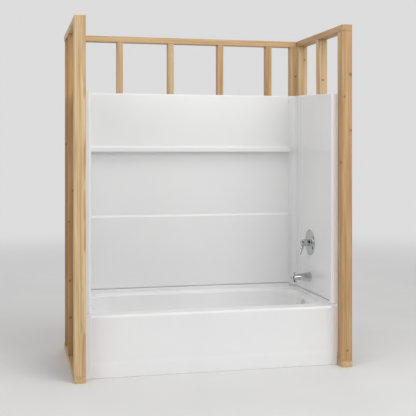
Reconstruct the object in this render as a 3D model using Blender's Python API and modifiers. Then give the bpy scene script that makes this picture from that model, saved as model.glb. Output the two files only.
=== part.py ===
# Tub and shower unit: an apron-front bath with a three-piece wall surround, standing in
# the stud frame that carries it, with its mixing valve, spout and waste. Metres, +Z up,
# X across the alcove, Y from the apron to the back wall, origin on the floor in the middle.

from math import cos, pi, radians, sin

import bmesh
import bpy
from mathutils import Matrix, Vector

for leftover in list(bpy.data.objects):
    bpy.data.objects.remove(leftover, do_unlink=True)

# Driving dimensions of the alcove and its boards
alcove_width = 1.524
alcove_depth = 0.762
frame_height = 2.055
stud_wide = 0.064
stud_thick = 0.038
post_proud = 0.080
seat_gap = 0.0003
overrun = 0.010
weld = 0.00001

side_x = alcove_width / 2
outer_x = side_x + stud_wide
front_y = -(post_proud + alcove_depth + stud_wide) / 2
apron_y = front_y + post_proud
back_y = apron_y + alcove_depth
rear_y = back_y + stud_wide
half_width = side_x - seat_gap
back_limit = back_y - seat_gap

# Heights of the white goods
rim_height = 0.355
panel_top = 1.677
panel_front_drop = 0.034
fitting_setback = 0.440
fitting_y = apron_y + fitting_setback

parts = bpy.data.collections.new("tub_and_shower_unit")
tools = bpy.data.collections.new("cutting_shapes")
for group in (parts, tools):
    bpy.context.scene.collection.children.link(group)


def material(name, colour, roughness, metallic=0.0):
    made = bpy.data.materials.new(name)
    made.use_nodes = True
    surface = made.node_tree.nodes["Principled BSDF"]
    surface.inputs["Base Color"].default_value = (*colour, 1.0)
    surface.inputs["Roughness"].default_value = roughness
    surface.inputs["Metallic"].default_value = metallic
    return made


pine = material("pine", (0.62, 0.42, 0.22), 0.6)
white_gloss = material("white_gloss", (0.82, 0.82, 0.81), 0.18)
bed_foam = material("bed_foam", (0.78, 0.76, 0.66), 0.9)
chrome = material("chrome", (0.80, 0.80, 0.81), 0.06, 1.0)
brass = material("brass", (0.70, 0.53, 0.25), 0.3, 1.0)
copper = material("copper", (0.72, 0.40, 0.28), 0.3, 1.0)
white_plastic = material("white_plastic", (0.75, 0.75, 0.73), 0.5)
black_rubber = material("black_rubber", (0.03, 0.03, 0.03), 0.7)


def keep(obj, surface):
    """Puts a finished piece among the parts, with its material."""
    obj.data.materials.append(surface)
    parts.objects.link(obj)
    return obj


def as_tool(obj):
    """Makes an object a helper that only cuts or joins other pieces."""
    obj.hide_render = True
    obj.display_type = "WIRE"
    tools.objects.link(obj)
    return obj


def combine(obj, tool, operation, solver):
    modifier = obj.modifiers.new(tool.name, "BOOLEAN")
    modifier.operation = operation
    modifier.solver = solver
    modifier.object = tool
    return obj


def cut(obj, *cutters, solver="EXACT"):
    for cutter in cutters:
        combine(obj, cutter, "DIFFERENCE", solver)
    return obj


def join(obj, *additions, solver="EXACT"):
    for addition in additions:
        combine(obj, addition, "UNION", solver)
    return obj


def mesh_from(bm, name):
    """One mesh object from a bmesh, its faces turned outwards."""
    bmesh.ops.recalc_face_normals(bm, faces=bm.faces)
    mesh = bpy.data.meshes.new(name)
    bm.to_mesh(mesh)
    bm.free()
    return bpy.data.objects.new(name, mesh)


def add_box(bm, low, high):
    size = [b - a for a, b in zip(low, high)]
    centre = [(a + b) / 2 for a, b in zip(low, high)]
    scale = Matrix.Diagonal((*size, 1.0))
    bmesh.ops.create_cube(bm, size=1.0, matrix=Matrix.Translation(centre) @ scale)


def box(name, low, high):
    bm = bmesh.new()
    add_box(bm, low, high)
    return mesh_from(bm, name)


def facing(direction):
    """The rotation that turns +Z to a direction."""
    return Vector((0, 0, 1)).rotation_difference(Vector(direction)).to_matrix().to_4x4()


def add_rod(bm, start, direction, length, radius, sides):
    middle = Vector(start) + Vector(direction) * length / 2
    bmesh.ops.create_cone(
        bm,
        cap_ends=True,
        segments=sides,
        radius1=radius,
        radius2=radius,
        depth=length,
        matrix=Matrix.Translation(middle) @ facing(direction),
    )


def rod(name, start, direction, length, radius, sides=20):
    bm = bmesh.new()
    add_rod(bm, start, direction, length, radius, sides)
    return mesh_from(bm, name)


def turned(name, profile, place, direction=(0, 0, 1), steps=24, closed=False):
    """A profile of (radius, height) points, top to bottom on its outer side, spun about its axis."""
    mesh = bpy.data.meshes.new(name)
    ends = [(i, i + 1) for i in range(len(profile) - 1)]
    if closed:
        ends.append((len(profile) - 1, 0))
    mesh.from_pydata([(radius, 0, height) for radius, height in profile], ends, [])
    obj = bpy.data.objects.new(name, mesh)
    obj.location = place
    obj.rotation_euler = facing(direction).to_euler()
    spin = obj.modifiers.new("spin", "SCREW")
    spin.angle = 2 * pi
    spin.steps = steps
    spin.render_steps = steps
    spin.use_merge_vertices = True
    spin.merge_threshold = weld
    return obj


def ring(name, inner, outer, bottom, top, place, direction=(0, 0, 1), steps=24):
    """A plain turned ring between two radii and two heights."""
    profile = [(inner, top), (outer, top), (outer, bottom), (inner, bottom)]
    return turned(name, profile, place, direction, steps, closed=True)


def loft(name, rings):
    """A closed solid through rings of as many points each, with flat caps."""
    bm = bmesh.new()
    rows = [[bm.verts.new(point) for point in points] for points in rings]
    for low, high in zip(rows, rows[1:]):
        for i in range(len(low)):
            j = (i + 1) % len(low)
            bm.faces.new((low[i], low[j], high[j], high[i]))
    bm.faces.new(rows[0])
    bm.faces.new(rows[-1])
    return mesh_from(bm, name)


def tube(name, path, radius, wall):
    """A pipe with open ends along a path."""
    curve = bpy.data.curves.new(name, "CURVE")
    curve.dimensions = "3D"
    curve.bevel_depth = radius
    curve.bevel_resolution = 3
    line = curve.splines.new("POLY")
    line.points.add(len(path) - 1)
    for point, place in zip(line.points, path):
        point.co = (*place, 1.0)
    obj = bpy.data.objects.new(name, curve)
    shell = obj.modifiers.new("wall", "SOLIDIFY")
    shell.thickness = wall
    shell.offset = -1.0
    return obj


# Boards of the frame: two side frames and a back frame between them
under_top_plate = frame_height - stud_thick
rear_stud_setback = 0.712
left_middle_setback = 0.425
fitting_bay_ahead = 0.070
right_middle_setback = fitting_setback - fitting_bay_ahead - stud_thick
middle_setback = {-1: left_middle_setback, 1: right_middle_setback}
side_name = {-1: "left", 1: "right"}
back_stud_pitch = 0.343
back_stud_shift = 0.0505
corner_stud_x = side_x - stud_thick / 2


def board(name, low, high):
    return keep(box(name, low, high), pine)


def side_span(side):
    """The two X faces of a side frame, low then high."""
    return sorted((side * side_x, side * outer_x))


def side_board(side, name, y_low, y_high, z_low, z_high):
    x_low, x_high = side_span(side)
    return board(f"{side_name[side]}_{name}", (x_low, y_low, z_low), (x_high, y_high, z_high))


stud_low = stud_thick + seat_gap
stud_high = under_top_plate - seat_gap
post_deep = 2 * stud_thick
behind_post = front_y + post_deep + seat_gap

sole_plates = {}
for side in (-1, 1):
    post_top = frame_height if side < 0 else stud_high
    plate_front = behind_post if side < 0 else front_y
    sole_plates[side] = side_board(side, "sole_plate", front_y, rear_y, 0, stud_thick)
    side_board(side, "top_plate", plate_front, rear_y, under_top_plate, frame_height)
    side_board(side, "front_post", front_y, front_y + post_deep, stud_low, post_top)
    setbacks = {"middle_stud": middle_setback[side], "rear_stud": rear_stud_setback}
    for name, setback in setbacks.items():
        stud_y = apron_y + setback
        side_board(side, name, stud_y, stud_y + stud_thick, stud_low, stud_high)

board("back_sole_plate", (-half_width, back_y, 0), (half_width, rear_y, stud_thick))
board("back_top_plate", (-half_width, back_y, under_top_plate), (half_width, rear_y, frame_height))

inner_studs = [back_stud_shift + (i - 1.5) * back_stud_pitch for i in range(4)]
back_stud_places = [-corner_stud_x + seat_gap, *inner_studs, corner_stud_x - seat_gap]
for number, stud_x in enumerate(back_stud_places, 1):
    board(
        f"back_stud_{number}",
        (stud_x - stud_thick / 2, back_y, stud_low),
        (stud_x + stud_thick / 2, rear_y, stud_high),
    )

# The ledger under the bath's back edge, and the boards that the valve and spout are fixed to
tub_wall = 0.008
ledger_top = rim_height - tub_wall - seat_gap
ledger_end_gap = 0.012
board(
    "back_ledger",
    (ledger_end_gap - half_width, back_limit - stud_thick, ledger_top - stud_wide),
    (half_width - ledger_end_gap, back_limit, ledger_top),
)

spout_rise = 0.116
valve_rise = 0.225
spout_z = rim_height + spout_rise
valve_z = spout_z + valve_rise
backing_thick = 0.019
backing_margin = 0.060
bay_low = apron_y + middle_setback[1] + stud_thick + seat_gap
bay_high = apron_y + rear_stud_setback - seat_gap
backing_x = outer_x - backing_thick
board(
    "pipe_backing_board",
    (backing_x, bay_low, spout_z - backing_margin),
    (outer_x, bay_high, valve_z + backing_margin),
)

# The bath: apron, deck and back upstand are one bent section, and the basin is let into it
kick_height = 0.080
kick_step = 0.004
rim_round = 0.014
back_upstand = 0.033
back_wall_standoff = 0.022
lower_wall_step = 0.010
back_upstand_lead = 0.003
end_ledge_high = 0.0145
panel_seam_x = 0.698
end_wall_standoff = 0.014
end_ledge_lead = 0.003
flange_face = 0.037
flange_deep = 0.035
border_proud = 0.003
basin_floor = 0.075
front_rim = 0.118
back_rim = 0.062
drain_end_rim = 0.050
rest_end_rim = 0.075
rim_roll = 0.012
corner_steps = 6
straight_steps = 3

upstand_y = back_y - back_wall_standoff - lower_wall_step - back_upstand_lead
upper_apron_y = apron_y + kick_step
arc_steps = 5


def arc(centre, radius, start, end, steps):
    """Points on an arc between two angles in degrees."""
    turns = [radians(start + (end - start) * i / steps) for i in range(steps + 1)]
    return [(centre[0] + radius * cos(a), centre[1] + radius * sin(a)) for a in turns]


def prism(name, outline, low_x, high_x):
    """A closed outline in Y and Z, carried along X."""
    return loft(name, [[(x, y, z) for y, z in outline] for x in (low_x, high_x)])


round_centre = (upper_apron_y + rim_round, rim_height - rim_round)
apron_section = [
    (apron_y, 0),
    (apron_y, kick_height),
    (upper_apron_y, kick_height + kick_step),
    *arc(round_centre, rim_round, 180, 90, arc_steps),
    (upstand_y, rim_height),
    (upstand_y, rim_height + back_upstand),
    (back_limit, rim_height + back_upstand),
    (back_limit, rim_height - tub_wall),
    *arc(round_centre, rim_round - tub_wall, 90, 180, arc_steps),
    (upper_apron_y + tub_wall, kick_height + kick_step),
    (apron_y + tub_wall, kick_height),
    (apron_y + tub_wall, 0),
]
tub = keep(prism("tub", apron_section, -half_width, half_width), white_gloss)

# The basin's rings from rim to floor: how deep, then how far in at the sides, the drain end and
# the end that is leant on. The drain end stands upright down to the foot of the overflow plate
upright_deep = 0.1078
upright_share = upright_deep / (rim_height - basin_floor)
basin_shares = [
    (0.065, 0.02, 0.11, 0.02),
    (upright_share, 0.13, 0.11, 0.15),
    (0.62, 0.28, 0.26, 0.36),
    (0.82, 0.48, 0.42, 0.60),
    (0.93, 0.68, 0.64, 0.78),
    (0.985, 0.86, 0.84, 0.90),
    (1.0, 1.0, 1.0, 1.0),
]
side_taper = 0.120
drain_end_taper = 0.110
rest_end_taper = 0.300
rim_corner = 0.150
floor_corner = 0.090
basin_low = (-side_x + rest_end_rim, apron_y + front_rim)
basin_high = (side_x - drain_end_rim, back_y - back_rim)


def basin_ring(z, side_in, drain_in, rest_in, grow, corner):
    """One rounded rectangle of the basin, its corners cut from circles."""
    low_x = basin_low[0] + rest_end_taper * rest_in - grow
    high_x = basin_high[0] - drain_end_taper * drain_in + grow
    low_y = basin_low[1] + side_taper * side_in - grow
    high_y = basin_high[1] - side_taper * side_in + grow
    centres = (
        (high_x - corner, high_y - corner, 0),
        (low_x + corner, high_y - corner, 90),
        (low_x + corner, low_y + corner, 180),
        (high_x - corner, low_y + corner, 270),
    )
    corners = [arc((x, y), corner, start, start + 90, corner_steps) for x, y, start in centres]
    points = []
    for here, after in zip(corners, corners[1:] + corners[:1]):
        points += here
        for i in range(1, straight_steps):
            share = i / straight_steps
            points.append([a + (b - a) * share for a, b in zip(here[-1], after[0])])
    return [(x, y, z) for x, y in points]


def basin_rings(shell):
    depth = rim_height - basin_floor
    rings = []
    for deep, side_in, drain_in, rest_in in basin_shares:
        corner = rim_corner + (floor_corner - rim_corner) * deep + shell
        z = rim_height - depth * deep - shell
        rings.append(basin_ring(z, side_in, drain_in, rest_in, shell, corner))
    return rings


roll_steps = 4
rolled = []
for i in range(roll_steps):
    turn = radians(90 * i / roll_steps)
    grow = rim_roll * (1 - sin(turn))
    z = rim_height - rim_roll * (1 - cos(turn))
    rolled.append(basin_ring(z, 0, 0, 0, grow, rim_corner + grow))
mouth = basin_ring(rim_height + overrun, 0, 0, 0, rim_roll, rim_corner + rim_roll)
shell_mouth = basin_ring(rim_height - tub_wall / 2, 0, 0, 0, tub_wall, rim_corner + tub_wall)
basin_outside = as_tool(loft("basin_outside", [shell_mouth, *basin_rings(tub_wall)]))
basin_inside = as_tool(loft("basin_inside", [mouth, *rolled, *basin_rings(0.0)]))
join(tub, basin_outside)

ledge_front = upper_apron_y + rim_round
for side in (-1, 1):
    outer = side * half_width
    ledge_x = side * (side_x - end_wall_standoff - end_ledge_lead)
    border_x = side * (side_x - flange_face)
    top = rim_height + end_ledge_high
    seat_z = rim_height - tub_wall / 2
    for name, inner, y_low, y_high, z_low in (
        ("end_ledge", ledge_x, ledge_front, back_limit - tub_wall / 2, seat_z),
        ("flange_seat", border_x, ledge_front - rim_round / 2, apron_y + flange_deep, seat_z),
        ("apron_border", border_x, apron_y - border_proud, upper_apron_y + rim_round, 0),
    ):
        low_x, high_x = sorted((inner, outer))
        addition = box(f"{side_name[side]}_{name}", (low_x, y_low, z_low), (high_x, y_high, top))
        join(tub, as_tool(addition))
    low_x, high_x = sorted((side * panel_seam_x, side * (half_width + overrun)))
    trim_low = (low_x, upstand_y - overrun, top)
    trim_high = (high_x, back_limit + overrun, rim_height + back_upstand + overrun)
    cut(tub, as_tool(box(f"{side_name[side]}_upstand_trim", trim_low, trim_high)))
cut(tub, basin_inside)

# Waste and overflow
drain_setback = 0.200
drain_x = side_x - drain_setback
drain_bore = 0.0195
overflow_drop = 0.067
overflow_z = rim_height - overflow_drop
overflow_x = basin_high[0] - drain_end_taper * basin_shares[0][2]
overflow_bore = 0.027
drain_place = (drain_x, fitting_y)
along_x = (1, 0, 0)
along_y = (0, 1, 0)
upwards = (0, 0, 1)
into_room = (-1, 0, 0)
drain_hole_low = (*drain_place, basin_floor - tub_wall - overrun)
drain_hole = rod("drain_hole", drain_hole_low, upwards, tub_wall + 2 * overrun, drain_bore)
overflow_hole_place = (overflow_x - overrun, fitting_y, overflow_z)
overflow_hole = rod("overflow_hole", overflow_hole_place, along_x, 3 * overrun, overflow_bore)
cut(tub, as_tool(drain_hole), as_tool(overflow_hole))

bed_reach = (-0.330, 0.450)
bed_low = (bed_reach[0], basin_low[1] + side_taper + floor_corner / 3)
bed_high = (bed_reach[1], basin_high[1] - side_taper - floor_corner / 3)
keep(box("tub_bed_pad", (*bed_low, 0), (*bed_high, basin_floor - tub_wall - seat_gap)), bed_foam)

pipe_run_z = 0.031
waste_radius = 0.017
waste_wall = 0.0015
socket_clearance = 0.0003
socket_wall = 0.0035
socket_radius = waste_radius + socket_clearance + socket_wall
socket_bore = waste_radius + socket_clearance
gasket_thick = 0.003
tub_under = basin_floor - tub_wall
shoe_top = tub_under - gasket_thick - 2 * seat_gap
strainer_flange = 0.035
strainer_flange_thick = 0.0025
strainer_radius = 0.0180
strainer_bore = 0.0150
strainer_deep = 0.022
shoe_radius = 0.0245
shoe_bore = strainer_radius + socket_clearance
shoe_bottom = pipe_run_z - socket_radius
shoe_branch = 0.045
riser_setback = 0.0255
riser_x = side_x - riser_setback
tee_branch = 0.040
tee_top = 0.080
tee_bottom = 0.006
tube_stop = 0.0022

strainer_top = basin_floor + seat_gap + strainer_flange_thick
strainer = keep(
    turned(
        "drain_strainer",
        [
            (0, strainer_flange_thick),
            (strainer_radius, strainer_flange_thick),
            (strainer_flange, strainer_flange_thick / 3),
            (strainer_flange, 0),
            (strainer_radius, 0),
            (strainer_radius, -tub_wall - strainer_deep),
            (strainer_bore, -tub_wall - strainer_deep),
            (strainer_bore, -strainer_flange_thick / 2),
            (0, -strainer_flange_thick / 2),
        ],
        (*drain_place, basin_floor + seat_gap),
    ),
    chrome,
)
grid_holes = 6
grid_hole_radius = 0.0033
grid_share = 0.62
grid_circle = strainer_bore * grid_share
bm = bmesh.new()
for i in range(grid_holes):
    angle = 2 * pi * i / grid_holes
    hole_x = drain_x + grid_circle * cos(angle)
    hole_y = fitting_y + grid_circle * sin(angle)
    add_rod(bm, (hole_x, hole_y, strainer_top - overrun / 2), upwards, overrun, grid_hole_radius, 8)
cut(strainer, as_tool(mesh_from(bm, "strainer_holes")))

keep(
    ring(
        "drain_gasket",
        strainer_radius + socket_clearance,
        shoe_radius,
        tub_under - seat_gap - gasket_thick,
        tub_under - seat_gap,
        (*drain_place, 0),
    ),
    black_rubber,
)

shoe = keep(
    rod("drain_shoe", (*drain_place, shoe_bottom), upwards, shoe_top - shoe_bottom, shoe_radius, 24),
    white_plastic,
)
shoe_turn = (*drain_place, pipe_run_z)
shoe_well = (*drain_place, shoe_bottom + socket_wall)
branch_bore = shoe_branch + overrun
join(shoe, as_tool(rod("shoe_branch", shoe_turn, along_x, shoe_branch, socket_radius)))
cut(
    shoe,
    as_tool(rod("shoe_bore", shoe_well, upwards, shoe_top, shoe_bore)),
    as_tool(rod("shoe_branch_bore", shoe_turn, along_x, branch_bore, socket_bore)),
)

branch_start = drain_x + shoe_radius + tube_stop
branch_end = riser_x - socket_radius + tube_stop
keep(
    tube(
        "waste_tube",
        [(branch_start, fitting_y, pipe_run_z), (branch_end, fitting_y, pipe_run_z)],
        waste_radius,
        waste_wall,
    ),
    white_plastic,
)

tee_foot = (riser_x, fitting_y, tee_bottom)
tee_turn = (riser_x, fitting_y, pipe_run_z)
tee_bore_low = (riser_x, fitting_y, tee_bottom - overrun)
tee_branch_deep = tee_branch + overrun
tee = keep(
    rod("waste_tee", tee_foot, upwards, tee_top - tee_bottom, socket_radius, 24), white_plastic
)
join(tee, as_tool(rod("tee_branch", tee_turn, into_room, tee_branch, socket_radius)))
cut(
    tee,
    as_tool(rod("tee_bore", tee_bore_low, upwards, tee_top + overrun, socket_bore)),
    as_tool(rod("tee_branch_bore", tee_turn, into_room, tee_branch_deep, socket_bore)),
)

nut_wall = 0.0032
nut_long = 0.012
nut_clearance = 0.0004
nut_sides = 16
nut_inner = waste_radius + nut_clearance
nut_outer = nut_inner + nut_wall * 2
for name, start, direction in (
    ("riser_slip_nut", (riser_x, fitting_y, tee_top + seat_gap), (0, 0, 1)),
    ("tee_slip_nut", (riser_x - tee_branch - seat_gap, fitting_y, pipe_run_z), (-1, 0, 0)),
    ("shoe_slip_nut", (drain_x + shoe_branch + seat_gap, fitting_y, pipe_run_z), (1, 0, 0)),
):
    keep(ring(name, nut_inner, nut_outer, 0, nut_long, start, direction, nut_sides), white_plastic)

# The overflow head clamps its gasket to the back of the end wall
head_face = overflow_x + tub_wall + gasket_thick + 2 * seat_gap
head_flange = 0.034
head_flange_thick = 0.004
head_neck = 0.0175
head_bore = 0.0150
neck_face = head_face + head_flange_thick / 2
head_drop = 0.034
head_rise = 0.026
head_low = overflow_z - head_drop
head_high = overflow_z + head_rise
head_mouth = 0.0144
mouth_deep = overrun + riser_x - head_face + head_bore / 3
keep(
    ring(
        "overflow_gasket",
        overflow_bore,
        head_flange,
        seat_gap,
        seat_gap + gasket_thick,
        (overflow_x + tub_wall, fitting_y, overflow_z),
        (1, 0, 0),
    ),
    black_rubber,
)
head_foot = (riser_x, fitting_y, head_low)
head_high_inside = head_high - head_low - socket_wall
head_front = (head_face, fitting_y, overflow_z)
neck_front = (neck_face, fitting_y, overflow_z)
socket_start = (riser_x, fitting_y, head_low - overrun)
mouth_front = (head_face - overrun, fitting_y, overflow_z)
head = keep(
    rod("overflow_head", head_foot, upwards, head_high - head_low, socket_radius, 24), white_plastic
)
join(
    head,
    as_tool(rod("head_neck", neck_front, along_x, riser_x - neck_face, head_neck)),
    as_tool(rod("head_flange", head_front, along_x, head_flange_thick, head_flange, 24)),
)
cut(
    head,
    as_tool(rod("head_socket", socket_start, upwards, overrun + socket_radius, socket_bore)),
    as_tool(rod("head_riser_bore", head_foot, upwards, head_high_inside, head_bore)),
    as_tool(rod("head_mouth", mouth_front, along_x, mouth_deep, head_mouth)),
)

riser_top = head_low + socket_radius - seat_gap
riser_bottom = pipe_run_z + socket_radius + tube_stop
keep(
    tube(
        "overflow_tube",
        [(riser_x, fitting_y, riser_bottom), (riser_x, fitting_y, riser_top)],
        waste_radius,
        waste_wall,
    ),
    white_plastic,
)

# The overflow plate with its trip lever, which rocks on a pin behind the plate
plate_radius = 0.0385
plate_dome = 0.0060
plate_thick = 0.0020
slot_wide = 0.010
slot_high = 0.026
screw_circle = 0.0210
screw_head = 0.0042
screw_shank = 0.0021
screw_head_high = 0.0016
screw_long = 0.0160
screw_hole_fit = 0.0004
lever_wide = 0.0060
lever_thick = 0.0032
lever_out = 0.026
lever_rest = radians(13)
link_pin = 0.0014
pivot_x = overflow_x
plate_place = (overflow_x - seat_gap, fitting_y, overflow_z)
plate_front_shares = [(0, 1), (0.55, 0.9), (0.85, 0.6), (1, 0.15), (1, 0)]
plate_back_shares = [(0.82, 0.6), (0.5, 0.9), (0, 1)]
plate = keep(
    turned(
        "overflow_plate",
        [
            *[(plate_radius * out, plate_dome * up) for out, up in plate_front_shares],
            (plate_radius - plate_thick, 0),
            *[
                (plate_radius * out, plate_dome * up - plate_thick)
                for out, up in plate_back_shares
            ],
        ],
        plate_place,
        into_room,
        32,
    ),
    chrome,
)
lug_gap = 0.0006
lug_thick = 0.0024
lug_high = 0.0070
lug_out = 0.0045
lug_in = 0.0035
lug_bore_fit = 0.0003
slot = box(
    "lever_slot",
    (overflow_x - plate_dome - overrun, fitting_y - slot_wide / 2, overflow_z - slot_high / 2),
    (overflow_x + overrun, fitting_y + slot_wide / 2, overflow_z + slot_high / 2),
)
screw_places = [(fitting_y + turn * screw_circle, overflow_z) for turn in (-1, 1)]


def screw(name, face_x, y, z, shank_long):
    """A round-headed screw driven towards +X, its head seated on a face."""
    shank_start = (face_x - screw_shank / 2, y, z)
    shank = rod(f"{name}_shank", shank_start, along_x, shank_long, screw_shank, 10)
    head_start = (face_x - screw_head_high, y, z)
    obj = rod(name, head_start, along_x, screw_head_high, screw_head, 12)
    return keep(join(obj, as_tool(shank)), chrome)


def screw_holes(name, face_x, places, deep):
    """Clearance holes for a set of screws."""
    hole_radius = screw_shank + screw_hole_fit
    bm = bmesh.new()
    for y, z in places:
        add_rod(bm, (face_x - overrun, y, z), along_x, deep + 2 * overrun, hole_radius, 10)
    return as_tool(mesh_from(bm, name))


screw_seat_share = 0.9
plate_face = overflow_x - seat_gap - plate_dome * screw_seat_share
plate_screw_holes = screw_holes("plate_screw_holes", plate_face, screw_places, screw_long)
lug_near = slot_wide / 2 + lug_gap
for turn in (-1, 1):
    lug_sides = (fitting_y + turn * lug_near, fitting_y + turn * (lug_near + lug_thick))
    low_y, high_y = sorted(lug_sides)
    lug = box(
        f"lever_lug_{'front' if turn < 0 else 'back'}",
        (pivot_x - lug_out, low_y, overflow_z - lug_high / 2),
        (pivot_x + lug_in, high_y, overflow_z + lug_high / 2),
    )
    join(plate, as_tool(lug))
pivot_bore = rod(
    "pivot_bore",
    (pivot_x, fitting_y - slot_wide, overflow_z),
    along_y,
    2 * slot_wide,
    link_pin + lug_bore_fit,
    12,
)
cut(plate, as_tool(slot), as_tool(pivot_bore), plate_screw_holes)
cut(head, plate_screw_holes)
for number, (y, z) in enumerate(screw_places, 1):
    screw(f"overflow_screw_{number}", plate_face - seat_gap, y, z, screw_long + plate_dome)

arm_long = riser_x - pivot_x
link_y = 0.0050
link_thick = 0.0020
link_eye = 0.0038
link_eye_wall = 0.0016
link_rod = 0.0014
lever = box(
    "trip_lever",
    (-lever_out, -lever_wide / 2, -lever_thick / 2),
    (arm_long + link_pin, lever_wide / 2, lever_thick / 2),
)
grip_high = 0.010
grip = box(
    "lever_grip",
    (-lever_out - lever_thick, -lever_wide / 2 - lever_thick / 3, -grip_high / 2),
    (-lever_out + lever_thick / 2, lever_wide / 2 + lever_thick / 3, grip_high / 2),
)
link_pin_end = link_y + link_thick + link_pin
pin = rod("link_pin", (arm_long, 0, 0), along_y, link_pin_end, link_pin, 10)
pivot_pin_long = 2 * (lug_near + lug_thick)
pivot_start = (0, -pivot_pin_long / 2, 0)
pivot = rod("pivot_pin", pivot_start, along_y, pivot_pin_long, link_pin, 10)
keep(join(lever, as_tool(grip), as_tool(pin), as_tool(pivot)), chrome)
for obj in (lever, grip, pin, pivot):
    obj.location = (pivot_x, fitting_y, overflow_z)
    obj.rotation_euler = (0, -lever_rest, 0)

eye_x = pivot_x + arm_long * cos(lever_rest)
eye_z = overflow_z + arm_long * sin(lever_rest)
link_place_y = fitting_y + lever_wide / 2 + link_y / 2
plunger_radius = 0.0146
plunger_high = 0.030
plunger_lift = 0.070
plunger_top = riser_bottom + plunger_lift
link = keep(
    ring(
        "linkage_rod",
        link_eye,
        link_eye + link_eye_wall,
        0,
        link_thick,
        (eye_x, link_place_y, eye_z),
        along_y,
        16,
    ),
    brass,
)
link_mid_y = link_place_y + link_thick / 2
link_foot = plunger_top - plunger_high / 3
link_top = eye_z - link_eye - link_eye_wall / 2
link_start = (eye_x, link_mid_y, link_foot)
join(link, as_tool(rod("link_shaft", link_start, upwards, link_top - link_foot, link_rod, 10)))
plunger_place = (riser_x, fitting_y, plunger_top - plunger_high)
plunger = keep(rod("plunger", plunger_place, upwards, plunger_high, plunger_radius), brass)
socket_place = (eye_x, link_mid_y, link_foot - seat_gap)
plunger_socket = rod("plunger_socket", socket_place, upwards, plunger_high, link_rod + seat_gap, 10)
cut(plunger, as_tool(plunger_socket))

# The wall surround: each panel is a thin skin with its edges turned back to the studs
panel_skin = 0.004
panel_edge_round = 0.008
shelf_proud = 0.050
shelf_bottom = 1.291
shelf_thick = 0.030
shelf_nose = 0.012
cove = 0.014
step_z = 0.864
corner_lap = 0.0035
corner_round = 0.036
flute_step = 0.0015
flute_places = (0.098, 0.150)
bull_round = 0.016
panel_limit = side_x - seat_gap
back_panel_bottom = rim_height + back_upstand + seat_gap
end_panel_bottom = rim_height + end_ledge_high + seat_gap

wall_y = back_y - back_wall_standoff
shelf_y = wall_y - shelf_proud
shelf_top = shelf_bottom + shelf_thick
lower_y = wall_y - lower_wall_step
back_profile = [
    (back_limit, panel_top),
    *arc((wall_y + panel_edge_round, panel_top - panel_edge_round), panel_edge_round, 90, 180, 3),
    *arc((wall_y - cove, shelf_top + cove), cove, 0, -90, 3),
    *arc((shelf_y + shelf_nose, shelf_top - shelf_nose), shelf_nose, 90, 180, 3),
    *arc((shelf_y + shelf_nose / 3, shelf_bottom + shelf_nose / 3), shelf_nose / 3, 180, 270, 2),
    *arc((wall_y - cove, shelf_bottom - cove), cove, 90, 0, 3),
    (wall_y, step_z + lower_wall_step),
    (lower_y, step_z - lower_wall_step / 2),
    (lower_y, back_panel_bottom),
    (back_limit, back_panel_bottom),
]


def inset(points, distance):
    """The inner points of a line, moved to the left of its run."""
    moved = []
    for before, here, after in zip(points, points[1:], points[2:]):
        arriving = (Vector(here) - Vector(before)).normalized()
        leaving = (Vector(after) - Vector(here)).normalized()
        left = Vector((-arriving.y, arriving.x))
        between = (left + Vector((-leaving.y, leaving.x))).normalized()
        moved.append(tuple(Vector(here) + between * distance / between.dot(left)))
    return moved


seam = panel_seam_x - seat_gap
hollow = inset(back_profile, panel_skin)
hollow = [(back_limit + overrun, hollow[0][1]), *hollow, (back_limit + overrun, hollow[-1][1])]
back_panel = keep(prism("back_wall_panel", back_profile, -seam, seam), white_gloss)
cut(back_panel, as_tool(prism("back_panel_hollow", hollow, panel_skin - seam, seam - panel_skin)))

end_wall_x = side_x - end_wall_standoff
flange_x = side_x - flange_face
flange_y = apron_y - border_proud
corner_y = wall_y - corner_lap
corner_x = end_wall_x - 2 * flute_step
flutes = [corner_y - place for place in flute_places]
corner_turns = 5
wall_runs = 6
wall_front = apron_y + flange_deep + 2 * bull_round
wall_rear = flutes[1]
end_profile = [
    (panel_seam_x, back_limit),
    (panel_seam_x, corner_y),
    *arc((corner_x - corner_round, corner_y - corner_round), corner_round, 90, 0, corner_turns),
    (corner_x, flutes[0] + flute_step),
    (corner_x + flute_step, flutes[0]),
    (corner_x + flute_step, flutes[1] + flute_step),
    *[(end_wall_x, wall_rear + (wall_front - wall_rear) * i / wall_runs) for i in range(wall_runs + 1)],
    *arc((end_wall_x - bull_round, apron_y + flange_deep + bull_round), bull_round, 0, -45, 2),
    (flange_x, apron_y + flange_deep - bull_round / 2),
    *arc((flange_x + bull_round, flange_y + bull_round), bull_round, 180, 270, 4),
    (panel_limit, flange_y),
]


top_fall = 1.3


def top_at(y):
    """The end panels' top edge, which falls towards the front."""
    share = max(0.0, (corner_y - y) / (corner_y - flange_y))
    return panel_top - panel_front_drop * share ** top_fall


def end_slab(name, side, near, limit_x, limit_y, margin):
    """A closed solid between a line in plan and the studs behind it, under the falling top."""
    far = []
    for i, (x, y) in enumerate(near):
        on_back = i <= 1
        on_corner = i <= 1 + corner_turns
        far.append((x if on_back else limit_x, limit_y if on_corner else y))
    bm = bmesh.new()
    rows = []
    for line in (near, far):
        low = [bm.verts.new((side * x, y, end_panel_bottom + margin)) for x, y in line]
        high = [bm.verts.new((side * x, y, top_at(y) - margin)) for x, y in line]
        rows.append((low, high))
    (near_low, near_high), (far_low, far_high) = rows
    walls = ((near_low, near_high), (far_low, far_high), (near_low, far_low), (near_high, far_high))
    for i in range(len(near) - 1):
        for one, other in walls:
            bm.faces.new((one[i], one[i + 1], other[i + 1], other[i]))
    for i in (0, -1):
        bm.faces.new((near_low[i], far_low[i], far_high[i], near_high[i]))
    bmesh.ops.remove_doubles(bm, verts=bm.verts, dist=weld)
    bmesh.ops.triangulate(bm, faces=bm.faces)
    return mesh_from(bm, name)


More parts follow.
